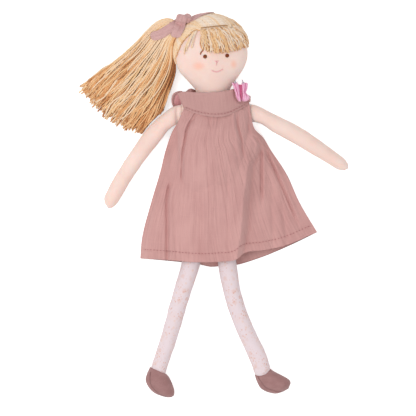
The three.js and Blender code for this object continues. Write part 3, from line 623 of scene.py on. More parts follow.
def make_stitched_line(face, name, points, finish, count, radius):
    """Back stitch on the face along a few points."""
    steps = 6
    line = through(points, steps * count + 1)
    rise = 0.25 * np.sin(np.pi * np.arange(steps + 1) / steps)
    paths = []
    for k in range(count):
        part = line[steps * k : steps * (k + 1) + 1]
        paths.append([on_face(face, x, y, r) for (x, y), r in zip(part, rise)])
    made = strands(name, paths, radius, finish)
    fixed(made, "head", name)


def make_face(face):
    make_eye(face, "eye_right", -10.5, 146.6)
    make_eye(face, "eye_left", 11.4, 147.6)
    brow = [(-15.2, 148.8), (-14.4, 150.8), (-12.2, 152.8)]
    make_stitched_line(face, "brow_right", brow, BROW_THREAD, 2, 0.7)
    mouth = [(-4.0, 132.8), (-1.6, 131.9), (1.2, 131.6), (4.4, 132.5), (7.2, 134.2)]
    make_stitched_line(face, "mouth", mouth, PINK_THREAD, 6, 0.62)
    nose = [(-0.7, 142.2), (0.7, 141.5), (2.2, 142.3), (1.1, 140.4), (0.8, 138.0)]
    make_stitched_line(face, "nose", nose, PINK_THREAD, 4, 0.55)


# Hair
PARTING = [(-14.8, 173.0), (-5.4, 174.1), (3.2, 175.0), (10.6, 175.2), (13.2, 173.8)]
PARTING_END = [(16.0, 179.0), (14.0, 184.0), (8.0, 187.4)]  # where it fans out over the crown
STRAND_STEPS = 16


def over_ball(start, via, end, lift):
    """A strand that lies on the head from one direction to another, drawn towards a third on its way."""
    t = np.linspace(0, 1, STRAND_STEPS)[:, None]
    way = unit((1 - t) ** 2 * start + 2 * t * (1 - t) * via + t * t * end)
    return lifted(way, lift)


def tie_direction(spread):
    """Where hair reaches the tie, a little above or below its middle."""
    place = (TIE + [3.5, 9.0 * spread, 0]) - HEAD_CENTRE
    return unit(place / HEAD_RADII)


def cap_families():
    """Groups of strands that run to the tie: start, what draws the strand aside, place at the tie."""
    to_tie = unit((TIE - HEAD_CENTRE) / HEAD_RADII)
    crown = []
    for x, y in through(PARTING + PARTING_END, 100):
        crown.append((on_ball(x, y), unit(np.array([(x - 14) / 52, 1.05, 0.05])), 0.75))
    side = []
    for share in np.linspace(0, 1, 110):
        angle = math.radians(lerp(84, -14, share))
        towards_face = lerp(0.2, -0.3, smooth(0.55, 0.85, share))
        start = unit(np.array([math.cos(angle), math.sin(angle), towards_face]))
        via = lerp(np.array([-0.2, 1.0, -0.25]), np.array([0.2, 0.35, -1.0]), share)
        side.append((start, unit(via), lerp(0.75, -0.1, share)))
    front = []
    hairline = [(-15.0, 176.0), (-17.0, 174.4), (-24, 169.6), (-31.5, 162)]
    hairline += [(-36.6, 152), (-39.0, 145), (-39.6, 140)]
    for x, y in through(hairline, 84):
        start = on_ball(x, y)
        front.append((start, unit(start + to_tie), -0.1))
    temple = []
    for share in np.linspace(0, 1, 30):
        start = on_ball(*lerp(np.array(PARTING[0]), np.array(PARTING[1]), 0.25 * (1 - share)))
        towards = lerp(np.array([-0.55, 1.05, 0.05]), start + to_tie, share)
        temple.append((start, unit(towards), lerp(0.75, -0.1, share)))
    back = []
    nape = [(27, 150), (26, 138), (20, 130), (8, 126.5), (-6, 126), (-20, 127.5), (-31, 132), (-36, 137)]
    for x, y in through(nape, 90):
        back.append((on_ball(x, y, -1), unit(np.array([x / 90 - 0.2, (y - 140) / 60, -1.0])), -0.4))
    return {"crown": crown, "side": side, "front": front, "temple": temple, "back": back}


def make_cap():
    paths = []
    tone = []
    for group, family in cap_families().items():
        for layer, lift in ((0, 0.4), (1, 1.5)):
            for start, via, spread in family:
                loose = 0.05 if start[0] > 0.54 and group == "crown" else 0.01
                jitter = np.array([chance.gauss(0, loose) for _ in range(3)])
                rise = lift + 0.35 * chance.random() + 0.6 * np.sin(np.linspace(0, np.pi, STRAND_STEPS))
                if group == "side":
                    rise -= 1.4 * np.linspace(1, 0, STRAND_STEPS) ** 4
                end = tie_direction(spread + chance.uniform(-0.5, 0.5))
                paths.append(over_ball(unit(start + jitter), unit(via + 0.03 * jitter / loose), end, rise))
                pale = {"crown": 0.91, "side": 0.92}.get(group, 0.87)
                # the lower layer is darker: painted shade under the upper one
                tone.append(np.clip(chance.gauss(pale, 0.04) - 0.2 * (1 - layer), 0, 1))
    cap = strands("hair_cap", paths, YARN, HAIR, tone)
    fixed(cap, "head", "hair_cap")
    return tree_of(cap)


def make_fringe():
    """Strands that hang from the parting over the brow in small tufts, cut unevenly."""
    tips = [(-12.8, 154), (-9, 152), (-2, 150.6), (7, 150.4), (15, 151.4), (21, 153.0)]
    tips += [(26, 155.6), (31.5, 157.4), (33.6, 161.0), (33.0, 167.0), (30.0, 172.0)]
    last = 239
    ends = through(tips, last + 1)
    starts = through(PARTING + PARTING_END, last + 1)
    paths = []
    tone = []
    # strands in each layer, how far it lies off the head, its tone; the lowest layer's dark tone is painted
    # shade under the others
    layers = ((100, 0.6, 0.5), (80, 1.3, 0.82), (66, 2.0, 0.88))
    tufts = 17
    for layer, (count, lift, pale) in enumerate(layers):
        for k in range(count):
            s = (k + chance.uniform(0.1, 0.9)) / count
            x, y = starts[int(last * s)]
            tuft = (round(s * tufts) / tufts * 0.6 + s * 0.4) if layer else s
            tip = ends[int(last * np.clip(tuft, 0, 1) ** 0.85)]
            ragged = abs(chance.gauss(0, 1.5)) * (1 + 1.2 * layer)
            bottom = tip + [chance.gauss(0, 1.0 + 0.5 * layer), ragged - 0.8]
            bow = chance.gauss(0, 0.05)
            middle_way = unit(on_ball(x, y) * 0.9 + on_ball(*bottom) + [bow + 0.04, 0.02, 0.02])
            rise = lift + chance.random() * 0.8 - 0.9 * np.linspace(1, 0, STRAND_STEPS) ** 6
            strand = over_ball(on_ball(x, y - 0.4), middle_way, on_ball(*bottom), rise)
            kink = 0.8 * np.sin(np.linspace(0, chance.uniform(7, 15), STRAND_STEPS) + chance.uniform(0, 6))
            paths.append(strand + kink[:, None] * [0.9, 0.3, 0.2])
            shade = chance.gauss(pale, 0.09) + 0.03 * smooth(0.6, 1, s)
            tone.append(np.clip(shade, 0, 0.94))
    fringe = strands("fringe", paths, FRINGE_YARN, HAIR, tone)
    fixed(fringe, "head", "fringe")


def make_side_lock():
    """A few loose strands between the fringe and the ponytail."""
    tips = [(-31.0, 152.2), (-30.0, 151.8), (-28.8, 152.2), (-27.6, 153.2)]
    tips += [(-26.6, 155.2), (-23.8, 156.2), (-22.8, 156.0)]
    paths = []
    for k, (x, y) in enumerate(2 * tips):
        start = (-21.4 + 0.6 * (k % len(tips)), 170.6 + 0.25 * (k % len(tips)))
        tip = (x + chance.gauss(0, 0.4), y + chance.gauss(0, 0.9))
        via = unit(on_ball(*start) + on_ball(*tip) + [-0.03, 0.03, 0])
        paths.append(over_ball(on_ball(*start), via, on_ball(*tip), 0.8 + 0.4 * (k % 3)))
    tone = [chance.uniform(0.82, 0.98) for _ in paths]
    lock = strands("side_lock", paths, LOCK_YARN, HAIR, tone)
    fixed(lock, "head", "side_lock")


def make_parting():
    """The row of machine stitches that holds the hair down along the parting."""
    line = np.array([lifted(on_ball(x, y), 3.3) for x, y in through(PARTING, 80)])
    lift, length, radius = 0.2, 2.9, 0.5
    parting = stitches("parting_stitch", line, PART_THREAD, "sewing_thread", lift, length, radius)
    fixed(parting, "head", "parting_stitch")


PONYTAIL_TOP = [(-36, 178), (-45, 185), (-57.6, 182.5), (-66.5, 175)]
PONYTAIL_TOP += [(-77, 164), (-91, 150), (-113, 134.0), (-139.0, 114.6)]
PONYTAIL_HEAD_SIDE = [(-37, 166), (-39.8, 160), (-41.0, 150), (-40.2, 138)]
PONYTAIL_HEAD_SIDE += [(-41.6, 128), (-46.2, 115), (-53, 96), (-66.0, 65.5)]
PONYTAIL_STEPS = 26
PONYTAIL_STRANDS = 640
PONYTAIL_LOCKS = 52
# the edge of the right arm, where strands end
ARM_EDGE = [(-83.4, 54.6), (-65.4, 78.4), (-52.4, 90.2), (-41.2, 97.6)]


def swing_at_tie(piece):
    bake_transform(piece)


def reach_to_arm(path, t):
    """The share of a strand that ends before the right arm; low strands keep further away from it."""
    arm = np.interp(path[:, 0], *np.transpose(ARM_EDGE), left=-100)
    clear = path[:, 1] - arm - lerp(3.8, 0.6, smooth(9, 15, path[:, 2]))
    if clear.min() >= 0:
        return 1.0
    met = int(np.argmax(clear < 0))
    return float(np.interp(0, clear[[met, met - 1]], t[[met, met - 1]]))


def ponytail_tone(share, layer, t):
    """Tones along a strand: painted shade underneath and beside the head, darker at its end, and paler on
    top near the tie as painted light.
    """
    # lower strands and those beside the head are darker: painted shade
    shade = 0.44 + 0.46 * layer - 0.32 * smooth(0.45, 1, share) + chance.gauss(0, 0.22)
    # painted shadow beside the head near the root
    painted_shade_by_head = 0.85 * smooth(0.62, 0.95, share) * smooth(0.75, 0.3, t)
    at_ends = 0.22 * smooth(0.6, 1, t) * (1 - 0.6 * share)
    # paler on top near the tie: painted light
    painted_light_on_top = 0.26 * (1 - smooth(0.35, 0.7, share)) * smooth(0.7, 0.2, t)
    palest = lerp(0.88, 0.68, smooth(0.6, 0.85, share))
    return np.clip(shade - (painted_shade_by_head + at_ends) + painted_light_on_top, 0.06, palest)


def make_ponytail():
    """A bundle that fans out from the tie: wavy strands in loose locks, some crossing, with ragged ends."""
    top = through(PONYTAIL_TOP, PONYTAIL_STEPS)
    side = through(PONYTAIL_HEAD_SIDE, PONYTAIL_STEPS)
    t = np.linspace(0, 1, PONYTAIL_STEPS)
    out = smooth(0.03, 0.42, t)
    locks = []
    for _ in range(PONYTAIL_LOCKS):
        place = chance.random()
        lean = chance.gauss(0, 0.06)
        locks.append((place, lean, chance.uniform(0, 6), chance.uniform(0, 0.07)))
    paths = []
    tone = []
    for k in range(PONYTAIL_STRANDS):
        lock_share, lock_drift, phase, short = locks[k % len(locks)]
        share = np.clip(lock_share + chance.gauss(0, 0.03), 0, 1) if k % 3 else chance.random()
        layer = chance.random() ** 0.75
        stray = chance.random() < 0.18
        drift = lock_drift + chance.gauss(0, 0.09 if stray else 0.025)
        s = np.clip(share + drift * np.sin(np.pi * t**0.8) + chance.gauss(0, 0.015) * t, 0, 1)[:, None]
        bow = 10.0 * math.sin(math.pi * share) * t**2
        wave = 1.1 * np.sin(4.2 * np.pi * t + phase) * t
        swell, turns, start = chance.uniform(0.5, 1.7), chance.uniform(4, 9), chance.uniform(0, 6)
        wave += swell * np.sin(turns * np.pi * t + start) * t
        plan = lerp(top, side, s) + bow[:, None] * [-0.55, -0.83] + wave[:, None] * [0.6, -0.8]
        lens = math.sqrt(max(0.0, 1 - (2 * share - 1) ** 2))
        tied = TIE[2] + (layer - 0.5) * 13 * lens
        lying = YARN + layer * lerp(17.5, 8.0, smooth(0.7, 1, t)) * (0.35 + 0.65 * lens)
        height = lerp(tied, lying, out) + 0.7 * np.sin(5 * np.pi * t + 2 * phase) * out
        path = np.column_stack([plan, np.maximum(height, YARN)])
        reach = 1 - short - abs(chance.gauss(0, 0.03)) - (0.03 if stray else 0)
        keep = np.linspace(0, min(reach, reach_to_arm(path, t)), PONYTAIL_STEPS)
        paths.append(np.stack([np.interp(keep, t, path[:, axis]) for axis in range(3)], 1))
        tone.append(ponytail_tone(share, layer, t))
    ponytail = strands("ponytail", paths, YARN, HAIR, tone)
    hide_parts("ponytail")
    swing_at_tie(ponytail)
    return tree_of(ponytail)


def make_hair_tie():
    """A strip of the ribbon wound four times round the bundle, sunk into it."""
    turns = 4
    wide = 3.0
    angle = np.linspace(0, 2 * np.pi * turns, 24 * turns)
    low, high = box("hair_tie")
    half = (high - low) / 2
    centre = middle("hair_tie")
    loop = grid_of(
        centre[0] + 1.6 + angle / angle[-1] * wide - wide / 2,
        centre[1] + 4.0 + (half[1] - 10.0) * np.cos(angle),
        centre[2] + half[2] * np.sin(angle),
    )
    tie = strands("hair_tie", [loop], TIE_STRIP, RIBBON_CLOTH)
    fixed(tie, "ponytail", "hair_tie")


# Ribbon
def band(path, across, width, wave, seed):
    """A strip of muslin along a path: its width may change, and it puckers along its length."""
    steps = len(path)
    columns = 15
    s = np.linspace(-1, 1, columns)
    rows = path[:, None] + across[:, None] * (width / 2)[:, None, None] * s[None, :, None]
    lift = unit(np.cross(np.gradient(path, axis=0), across))
    t = np.linspace(0, 1, steps)
    pucker = wave * np.sin(2.6 * np.pi * s[None, :] + seed + 2.0 * t[:, None]) * (1 - 0.5 * t[:, None])
    return rows + lift[:, None] * pucker[..., None]


def resting(rows, trees, puff):
    """The rows of a strip, laid evenly on what is under them, and standing off that by its puff."""
    under = np.full(rows.shape[:2], np.nan)
    for place in np.ndindex(under.shape):
        x, y = rows[place][:2] * MM
        hits = [tree.ray_cast(Vector((x, y, 1.0)), Vector((0, 0, -1)))[0] for tree in trees]
        under[place] = max((hit.z / MM for hit in hits if hit), default=np.nan)
    known = ~np.isnan(under)
    order = np.arange(under.size)
    under = np.interp(order, order[known.ravel()], under[known]).reshape(under.shape)
    even = softened(softened(under, 5).T, 5).T
    laid = rows.copy()
    laid[..., 2] = np.maximum(even, under - 0.4) + puff
    return laid


RIBBON_CUT = 11.2  # width of the ribbon laid flat
BAND_WIDTH = 10.4  # of the band as it lies, puckered


def make_band():
    """The band from the knot over the crown, and on behind the head to the tie."""
    way = [on_ball(-28, 181.5), [-0.5, 0.85, 0.18], [-0.3, 0.94, 0.12], [-0.12, 0.98, -0.02]]
    way += [[-0.05, 0.88, -0.5], [-0.2, 0.62, -0.76], [-0.6, 0.5, -0.62], [-0.86, 0.5, -0.25]]
    steps = 60
    directions = unit(through(way, steps))
    path = lifted(directions, 3.4 + 0.5 * np.sin(np.linspace(0, np.pi, steps)))
    out = unit(directions / HEAD_RADII)
    across = unit(np.cross(np.gradient(path, axis=0), out))
    rows = band(path, across, np.full(steps, BAND_WIDTH), wave=0.5, seed=0.4)
    strip = cloth("ribbon_band", rows, RIBBON, RIBBON_CLOTH)
    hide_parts("ribbon_band")
    size = (RIBBON_CUT * MM, flat_size(rows)[1] * MM)
    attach(strip, "head")


def make_tails(trees):
    """Two tails that come from the knot and lie on the ponytail's root, rounded at both ends."""
    front = [(-33.2, 189.0), (-34.4, 183.0), (-36.4, 176.0), (-39.2, 169.8), (-39.6, 165.8)]
    side = [(-34.5, 183.6), (-41.2, 177.8), (-47.5, 174.0), (-54.5, 169.8), (-65.2, 167.2)]
    steps = 40
    t = np.linspace(0, 1, steps)
    round_end = np.clip(1 - (np.clip(t - 0.84, 0, 1) / 0.163) ** 3, 0.05, 1) ** 0.5
    round_start = np.sqrt(np.clip(1 - (np.clip(0.1 - t, 0, 1) / 0.12) ** 2, 0.05, 1))
    bulge = ((1 - t**6) * smooth(0, 0.4, t))[:, None]
    for name, points, width, pucker, seed, puff in (
        ("ribbon_tail_front", front, 10.6, 0.45, 1.3, 1.6),
        ("ribbon_tail_side", side, 9.2, 0.75, 2.2, 0.8),
    ):
        path = np.column_stack([through(points, steps), np.zeros(steps)])
        across = unit(np.cross(UP, np.gradient(path, axis=0)))
        rows = band(path, across, width * round_end * round_start, pucker, seed)
        s = np.linspace(-1, 1, rows.shape[1])
        folds = rows[..., 2] - 1.2 * s[None, :] ** 2
        rows = resting(rows, trees, RIBBON + 1.1 + puff * bulge)
        rows[..., 2] += folds + 0.35 * ripple(rows, 4.5, seed)
        tail = cloth(name, rows, RIBBON, RIBBON_CLOTH, up=-1)
        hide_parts(name)
        size = (RIBBON_CUT * MM, flat_size(rows)[1] * MM)
        swing_at_tie(tail)


def make_knot():
    """The knot: the ribbon drawn tight round itself, with folds that run across it."""
    centre = np.array([-28.6, 185.2, 29.8])
    radii = np.array([4.6, 5.0, 4.6])
    angle = circle(40)
    rings = []
    for latitude in np.linspace(-1.45, 1.45, 26):
        fold = 1 + 0.1 * np.sin(7 * latitude + 1.2 * np.sin(angle)) + 0.05 * np.sin(3 * angle + 1.0)
        ring = grid_of(
            math.cos(latitude) * np.cos(angle) * fold,
            math.sin(latitude),
            math.cos(latitude) * np.sin(angle) * fold,
        )
        rings.append(ring * radii)
    turn = math.radians(-25)
    c, s = math.cos(turn), math.sin(turn)
    spin = np.array([[c, -s, 0], [s, c, 0], [0, 0, 1]])
    rings = np.array(rings) @ spin.T + centre
    knot = lofted("ribbon_knot", rings, ends_of(rings), RIBBON_CLOTH)
    fixed(knot, "head", "ribbon_knot")
    return tree_of(knot)


# Body and limbs
# torso from its top down: distance from the top, half width, height of its middle, half depth
TORSO_SHAPE = [
    (0.0, 28.5, 18.5, 1.0),
    (3.0, 31.0, 18.5, 9.5),
    (10.0, 31.7, 18.5, 15.0),
    (28.0, 31.6, 18.5, 17.0),
    (55.0, 29.5, 18.5, 17.0),
    (80.0, 27.0, 16.5, 15.0),
    (96.0, 26.0, 12.5, 9.5),
    (103.8, 25.5, 11.0, 1.0),
]


def make_torso():
    pairs = []
    for drop, half, mid, deep in TORSO_SHAPE:
        y = TORSO_HIGH[1] - drop
        pairs.append((TORSO_MID[0] - half, y, TORSO_MID[0] + half, y, mid, deep))
    rings = wrinkled(stuffed(pairs), height=0.4, size=14, offset=5.7)
    torso = lofted("torso", rings, ends_of(rings), SKIN)
    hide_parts("torso_skin", "torso_stuffing")
    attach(torso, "torso")


def make_limb(name, pairs, tip, finish):
    """A stuffed limb through its pairs, closed at its tip."""
    rings = stuffed(pairs, rings=110, sides=32, seam=0.3)
    rings = wrinkled(rings, height=0.32, size=9, offset=len(name))
    limb = lofted(name, rings, [rings[0].mean(0), tip], finish)
    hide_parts(f"{name}_skin", f"{name}_stuffing")
    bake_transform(limb)


def make_arms():
    x, _, z = SHOULDER_RIGHT
    right = [
        (x + 2.8, 98.6, x + 2.8, 82.4, z, 3.4),
        (x + 0.2, 98.8, x + 0.2, 82.0, z, 4.6),
        (-38.4, 98.2, -38.2, 80.8, 18.0, 3.3),
        (-41.2, 97.6, -40.6, 79.2, 17.6, 6.0),
        (-52.4, 90.2, -47.4, 74.0, 15.4, 7.9),
        (-65.4, 78.4, -54.2, 65.2, 12.6, 7.9),
        (-83.4, 54.6, -70.8, 44.2, 9.8, 7.6),
        (-95.4, 36.2, -82.8, 27.4, 8.4, 7.4),
        (-108.2, 13.8, -95.4, 6.2, 7.4, 7.0),
        (-111.8, 5.6, -99.8, -0.4, 6.8, 5.9),
        (-110.6, -0.4, -104.0, -3.8, 6.4, 3.4),
    ]
    x = SHOULDER_LEFT[0]
    left = [
        (x - 1.6, 82.4, x - 1.6, 99.3, 16.5, 2.4),
        (36.2, 82.6, 36.4, 99.2, 16.0, 4.6),
        (40.2, 82.0, 42.2, 97.6, 16.0, 6.8),
        (44.6, 80.8, 48.6, 94.6, 15.8, 7.7),
        (57.4, 72.6, 64.4, 86.9, 13.4, 7.8),
        (76.4, 62.2, 84.4, 76.9, 10.8, 7.6),
        (97.4, 49.8, 105.4, 62.9, 8.6, 7.3),
        (113.4, 40.4, 120.4, 51.9, 7.4, 6.9),
        (123.6, 34.6, 129.4, 44.9, 6.8, 5.9),
        (129.4, 33.6, 133.0, 40.0, 6.4, 3.4),
    ]
    for name, shoulder, out, pairs, tip in (
        ("arm_right", SHOULDER_RIGHT, -2.0, right, (-107.6, -4.4, 6.4)),
        ("arm_left", SHOULDER_LEFT, 2.0, left, (133.2, 35.8, 6.4)),
    ):
        make_limb(name, pairs, tip, SKIN)


def make_legs():
    _, y, z = HIP
    right = [
        (-20.1, y, -9.1, y, z, 1.0),
        (-23.4, y - 8, -9.6, y - 8, 10.4, 5.8),
        (-27.2, -28.0, -10.6, -30.0, 9.4, 7.4),
        (-33.4, -57.6, -15.6, -59.0, 9.0, 7.5),
        (-44.2, -95.0, -28.4, -99.8, 8.9, 7.4),
        (-54.8, -133.6, -40.0, -138.6, 8.8, 7.2),
        (-64.0, -162.4, -50.4, -168.6, 8.6, 6.9),
        (-65.6, -167.4, -52.0, -173.6, 8.5, 6.2),
    ]
    left = [
        (0.9, y, 11.9, y, z, 1.0),
        (0.2, y - 8, 13.8, y - 8, 10.4, 5.8),
        (1.0, -30.0, 17.8, -29.0, 9.4, 7.4),
        (2.6, -58.4, 20.4, -56.6, 9.0, 7.5),
        (10.8, -99.0, 26.8, -94.6, 8.9, 7.4),
        (20.2, -125.2, 36.2, -120.2, 8.8, 7.3),
        (37.2, -163.8, 53.0, -158.4, 9.0, 7.2),
        (38.6, -168.4, 54.2, -163.2, 9.8, 8.4),
        (40.0, -171.0, 54.2, -166.2, 10.2, 8.2),
        (43.0, -172.8, 52.8, -169.4, 10.4, 6.4),
    ]
    for name, pairs in (("leg_right", right), ("leg_left", left)):
        last = pairs[-1]
        tip = np.array([(last[0] + last[2]) / 2, (last[1] + last[3]) / 2 - 1.0, last[4]])
        make_limb(name, pairs, tip, TIGHTS)


SOLE_SEAM = 0.76  # how far across a shoe its sole is sewn on, as a share of its half width


def make_shoes():
    right = [
        (-64.8, -163.9, -50.1, -170.2, 8.6, 7.4),
        (-68.1, -170.0, -47.1, -174.0, 8.4, 8.2),
        (-69.6, -176.5, -44.8, -178.3, 8.3, 8.4),
        (-67.1, -183.2, -43.0, -183.0, 8.3, 8.3),
        (-60.1, -189.8, -41.9, -187.6, 7.6, 7.2),
        (-52.1, -193.0, -42.1, -190.8, 6.8, 5.6),
        (-47.1, -194.0, -42.9, -192.8, 6.2, 3.2),
    ]
    left = [
        (40.2, -171.0, 54.3, -165.6, 8.6, 5.6),
        (41.0, -175.0, 58.4, -168.2, 8.4, 8.2),
        (42.2, -178.5, 62.4, -170.4, 8.3, 8.4),
        (45.7, -184.4, 67.4, -173.0, 8.3, 8.3),
        (54.1, -188.6, 71.4, -175.3, 7.9, 7.8),
        (61.9, -189.8, 74.2, -177.9, 7.2, 6.4),
        (67.9, -188.0, 74.8, -180.5, 6.4, 3.8),
    ]
    tips = {"right": (-44.4, -194.0, 6.2), "left": (73.2, -185.4, 6.2)}
    count, sides = 60, 88
    angle = circle(sides)
    along = np.linspace(0, 1, count)
    cuff = 0.4 * hump(along, 0, 0.025)
    sole = hump(np.cos(angle), SOLE_SEAM, 0.07) * (np.sin(angle) > 0)
    groove = 1.3 * np.outer(smooth(0.12, 0.3, along) * (1 - smooth(0.85, 0.97, along)), sole)
    seam = int(np.argmin(np.abs(angle - math.acos(SOLE_SEAM))))
    for side, pairs in (("right", right), ("left", left)):
        rings = stuffed(pairs, rings=count, sides=sides, seam=0.7)
        rings = wrinkled(rings, height=0.4, size=8, offset=len(side))
        rings += unit(rings - rings.mean(1, keepdims=True)) * (cuff[:, None] - groove)[..., None]
        sewn = strands(f"shoe_seam_{side}", [rings[6:55, seam]], SHOE_THREAD, SEAM_THREAD)
        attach(sewn, f"leg_{side}")
        shoe = lofted(f"shoe_{side}", rings, [rings[0].mean(0), tips[side]], SHOE)
        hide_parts(f"shoe_{side}")
        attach(shoe, f"leg_{side}")


def whipped(node, body, start, end):
    """Whip stitches: one thread that winds round a sewn edge."""
    length = np.linalg.norm(end - start)
    turns = max(4, round(length / 2.2))
    angle = np.linspace(0, 2 * np.pi * turns, 14 * turns)
    ahead = (end - start) / length
    side = unit(np.cross(ahead, UP))
    line = start + (end - start) * np.linspace(0, 1, len(angle))[:, None]
    path = line + 0.75 * (np.cos(angle)[:, None] * side + np.sin(angle)[:, None] * UP)
    sewn = strands(node, [path], THREAD, PALE_THREAD)
    fixed(sewn, body, node)


def make_seams():
    for node, body in (
        ("neck_stitching", "torso"),
        ("hip_stitching", "lap"),
        ("shoulder_stitching_right", "torso"),
        ("shoulder_stitching_left", "torso"),
    ):
        low, high = box(node)
        axis = int(np.argmax(high - low))
        start, end = middle(node), middle(node)
        start[axis], end[axis] = low[axis], high[axis]
        whipped(node, body, start, end)


# Dress
YOKE_TOP = [(-38.4, 110.4), (-34.0, 111.9), (-28.0, 112.0), (-21.8, 111.4), (0.4, 111.4)]
YOKE_TOP += [(12.4, 113.2), (18.4, 114.8), (27, 113.0), (33.0, 107.8)]
YOKE_LOW = [(-31.6, 95.2), (-21.2, 90.5), (-6.8, 87.0), (0.4, 86.4)]
YOKE_LOW += [(8.8, 87.0), (15.9, 89.4), (25.4, 94.8), (33.6, 99.6)]
COLLAR_BACK = [(-36.0, 109.0), (-30.4, 112.4), (-25.1, 115.6), (-20.5, 114.4)]
COLLAR_BACK += [(0.0, 113.5), (14.0, 115.0), (27, 113.4), (33.4, 109.0)]
RIGHT_EDGE = [(-31.2, 96.5), (-35.4, 87.0), (-38.2, 81.0), (-42.2, 74.6), (-49.1, 56.0)]
RIGHT_EDGE += [(-54.6, 35.0), (-65.3, -0.5), (-74.4, -38.0), (-75.6, -54.8)]
LEFT_EDGE = [(33.6, 101.0), (36.0, 85.0), (39.0, 75.5), (47.9, 66.6)]
LEFT_EDGE += [(54.4, 56.0), (71.4, 30.0), (84.1, 2.0), (102.0, -28.4)]
FRONT_HEM = [(-75.6, -54.8), (-47.3, -56.2), (-19.3, -58.4), (3.7, -57.8), (20.6, -55.4)]
FRONT_HEM += [(29.2, -49.2), (48.4, -46.4), (67.4, -42.4), (102.0, -28.4)]
BACK_HEM = [(-75.6, -54.6), (-47.3, -57.0), (-15.4, -60.8), (-5.2, -63.0), (3.0, -62.6)]
BACK_HEM += [(21.4, -61.0), (42.0, -55.0), (73.8, -42.0), (102.0, -28.4)]
TUCK = 3.0  # how far the skirt goes up under the yoke
SKIRT_TOP = [(x, y + TUCK) for x, y in YOKE_LOW]
SKIRT_LENGTH = 152.0
HEM_SEWN = 1 - HEM_STITCHES / SKIRT_LENGTH  # share of the panel's length at which its hem is sewn
# where the brooch is pinned and draws the yoke in
PINNED = [(17.6, 117.0), (19.0, 111.0), (19.8, 106.4), (21.6, 103.2)]
PINNED += [(24.6, 101.4), (29.0, 101.2), (32.6, 102.4)]


def chest(x):
    """Height of the chest under the yoke."""
    share = np.clip(np.abs(x - TORSO_MID[0]) / CHEST_REACH, 0, 1)
    return TORSO_MID[2] + (TORSO_HIGH[2] - TORSO_MID[2]) * (1 - share**2)


def panel(top, hem, columns, rows):
    """Plan of a skirt panel between its four edges, with the share across and down of each point."""
    u = np.linspace(0, 1, columns)[None, :, None]
    v = np.linspace(0, 1, rows)[:, None, None]
    upper = through(top, columns)[None]
    lower = through(hem, columns)[None]
    right = through(RIGHT_EDGE, rows)[:, None]
    left = through(LEFT_EDGE, rows)[:, None]
    corners = lerp(lerp(upper[:, :1], upper[:, -1:], u), lerp(lower[:, :1], lower[:, -1:], u), v)
    plan = lerp(upper, lower, v) + lerp(right, left, u) - corners
    return plan[..., 0], plan[..., 1], u[..., 0], v[..., 0]


LEFT_CREST = [(33.0, 84), (36.6, 70), (41.5, 60), (40.6, 52)]
LEFT_CREST += [(32.4, 39), (28.0, 4), (26.0, -26), (21.0, -54)]
LEFT_TROUGH = [(37.0, 70), (44.8, 60), (44.2, 50), (37.4, 39), (33.4, 4), (32.0, -26), (28.0, -48)]
# creases of the skirt: a line down the cloth, how far it rises or sinks, its width, where it fades (if so)
CREASES = [
    ([(-15.8, 95), (-25.4, 81.5), (-28.9, 73), (-30.2, 64), (-32.6, 49), (-34.0, 24)], -4.4, 1.1, 30),
    ([(-18.8, 95), (-28.2, 81.5), (-31.8, 73), (-33.2, 64), (-35.6, 49), (-37.0, 30)], 2.2, 1.7, 36),
    ([(-5.6, 89), (-5.0, 80), (-4.6, 70)], -2.2, 1.2, 74),
    ([(20.6, 94), (22.0, 77), (25.4, 65), (27.5, 46)], -3.4, 1.2, 52),
    ([(17.0, 94), (18.5, 77), (21.4, 65), (23.5, 46)], 1.6, 1.8, 58),
    (LEFT_CREST, 1.6, 1.7, None),
    (LEFT_TROUGH, -2.6, 2.2, None),
    ([(45.6, 55), (45.8, 30), (45.8, 2)], -2.8, 1.3, 6),
    ([(48.6, 55), (49.0, 30), (49.0, 2)], 1.3, 1.8, 6),
    ([(49.8, 56), (65.0, 22), (84.4, -24)], -2.6, 1.2, -16),
    ([(52.4, 56), (67.8, 22), (87.4, -24)], 1.6, 1.7, -16),
    ([(-46.0, 21), (-48.4, 2), (-48.2, -54)], -3.4, 1.7, None),
    ([(-43.0, 21), (-44.6, 2), (-44.4, -54)], 1.8, 2.2, None),
    ([(-8.0, 20), (-9.0, -56)], 0.8, 3.2, None),
    ([(-22.0, 0), (-23.5, -57)], 0.9, 3.6, None),
    ([(-14.6, 10), (-15.6, -57)], -0.9, 1.6, None),
    ([(12.0, 40), (12.6, -56)], -1.0, 2.0, None),
    ([(66.0, 4), (72.0, -40)], -1.4, 2.2, None),
    ([(56.0, 20), (58.0, -44)], -1.2, 2.4, None),
]


def crease_height(x, y):
    total = np.zeros_like(x)
    for line, rise, width, fade in CREASES:
        points = np.array(sorted(line, key=lambda p: p[1]))
        across = x - np.interp(y, points[:, 1], points[:, 0])
        low, high = points[0, 1], points[-1, 1]
        share = smooth(low - 14, low, y) * (1 - smooth(high - 6, high + 2, y))
        if fade is not None:
            share = share * smooth(fade - 12, fade + 10, y)
        total += rise * share * hump(across, 0, width)
    return total


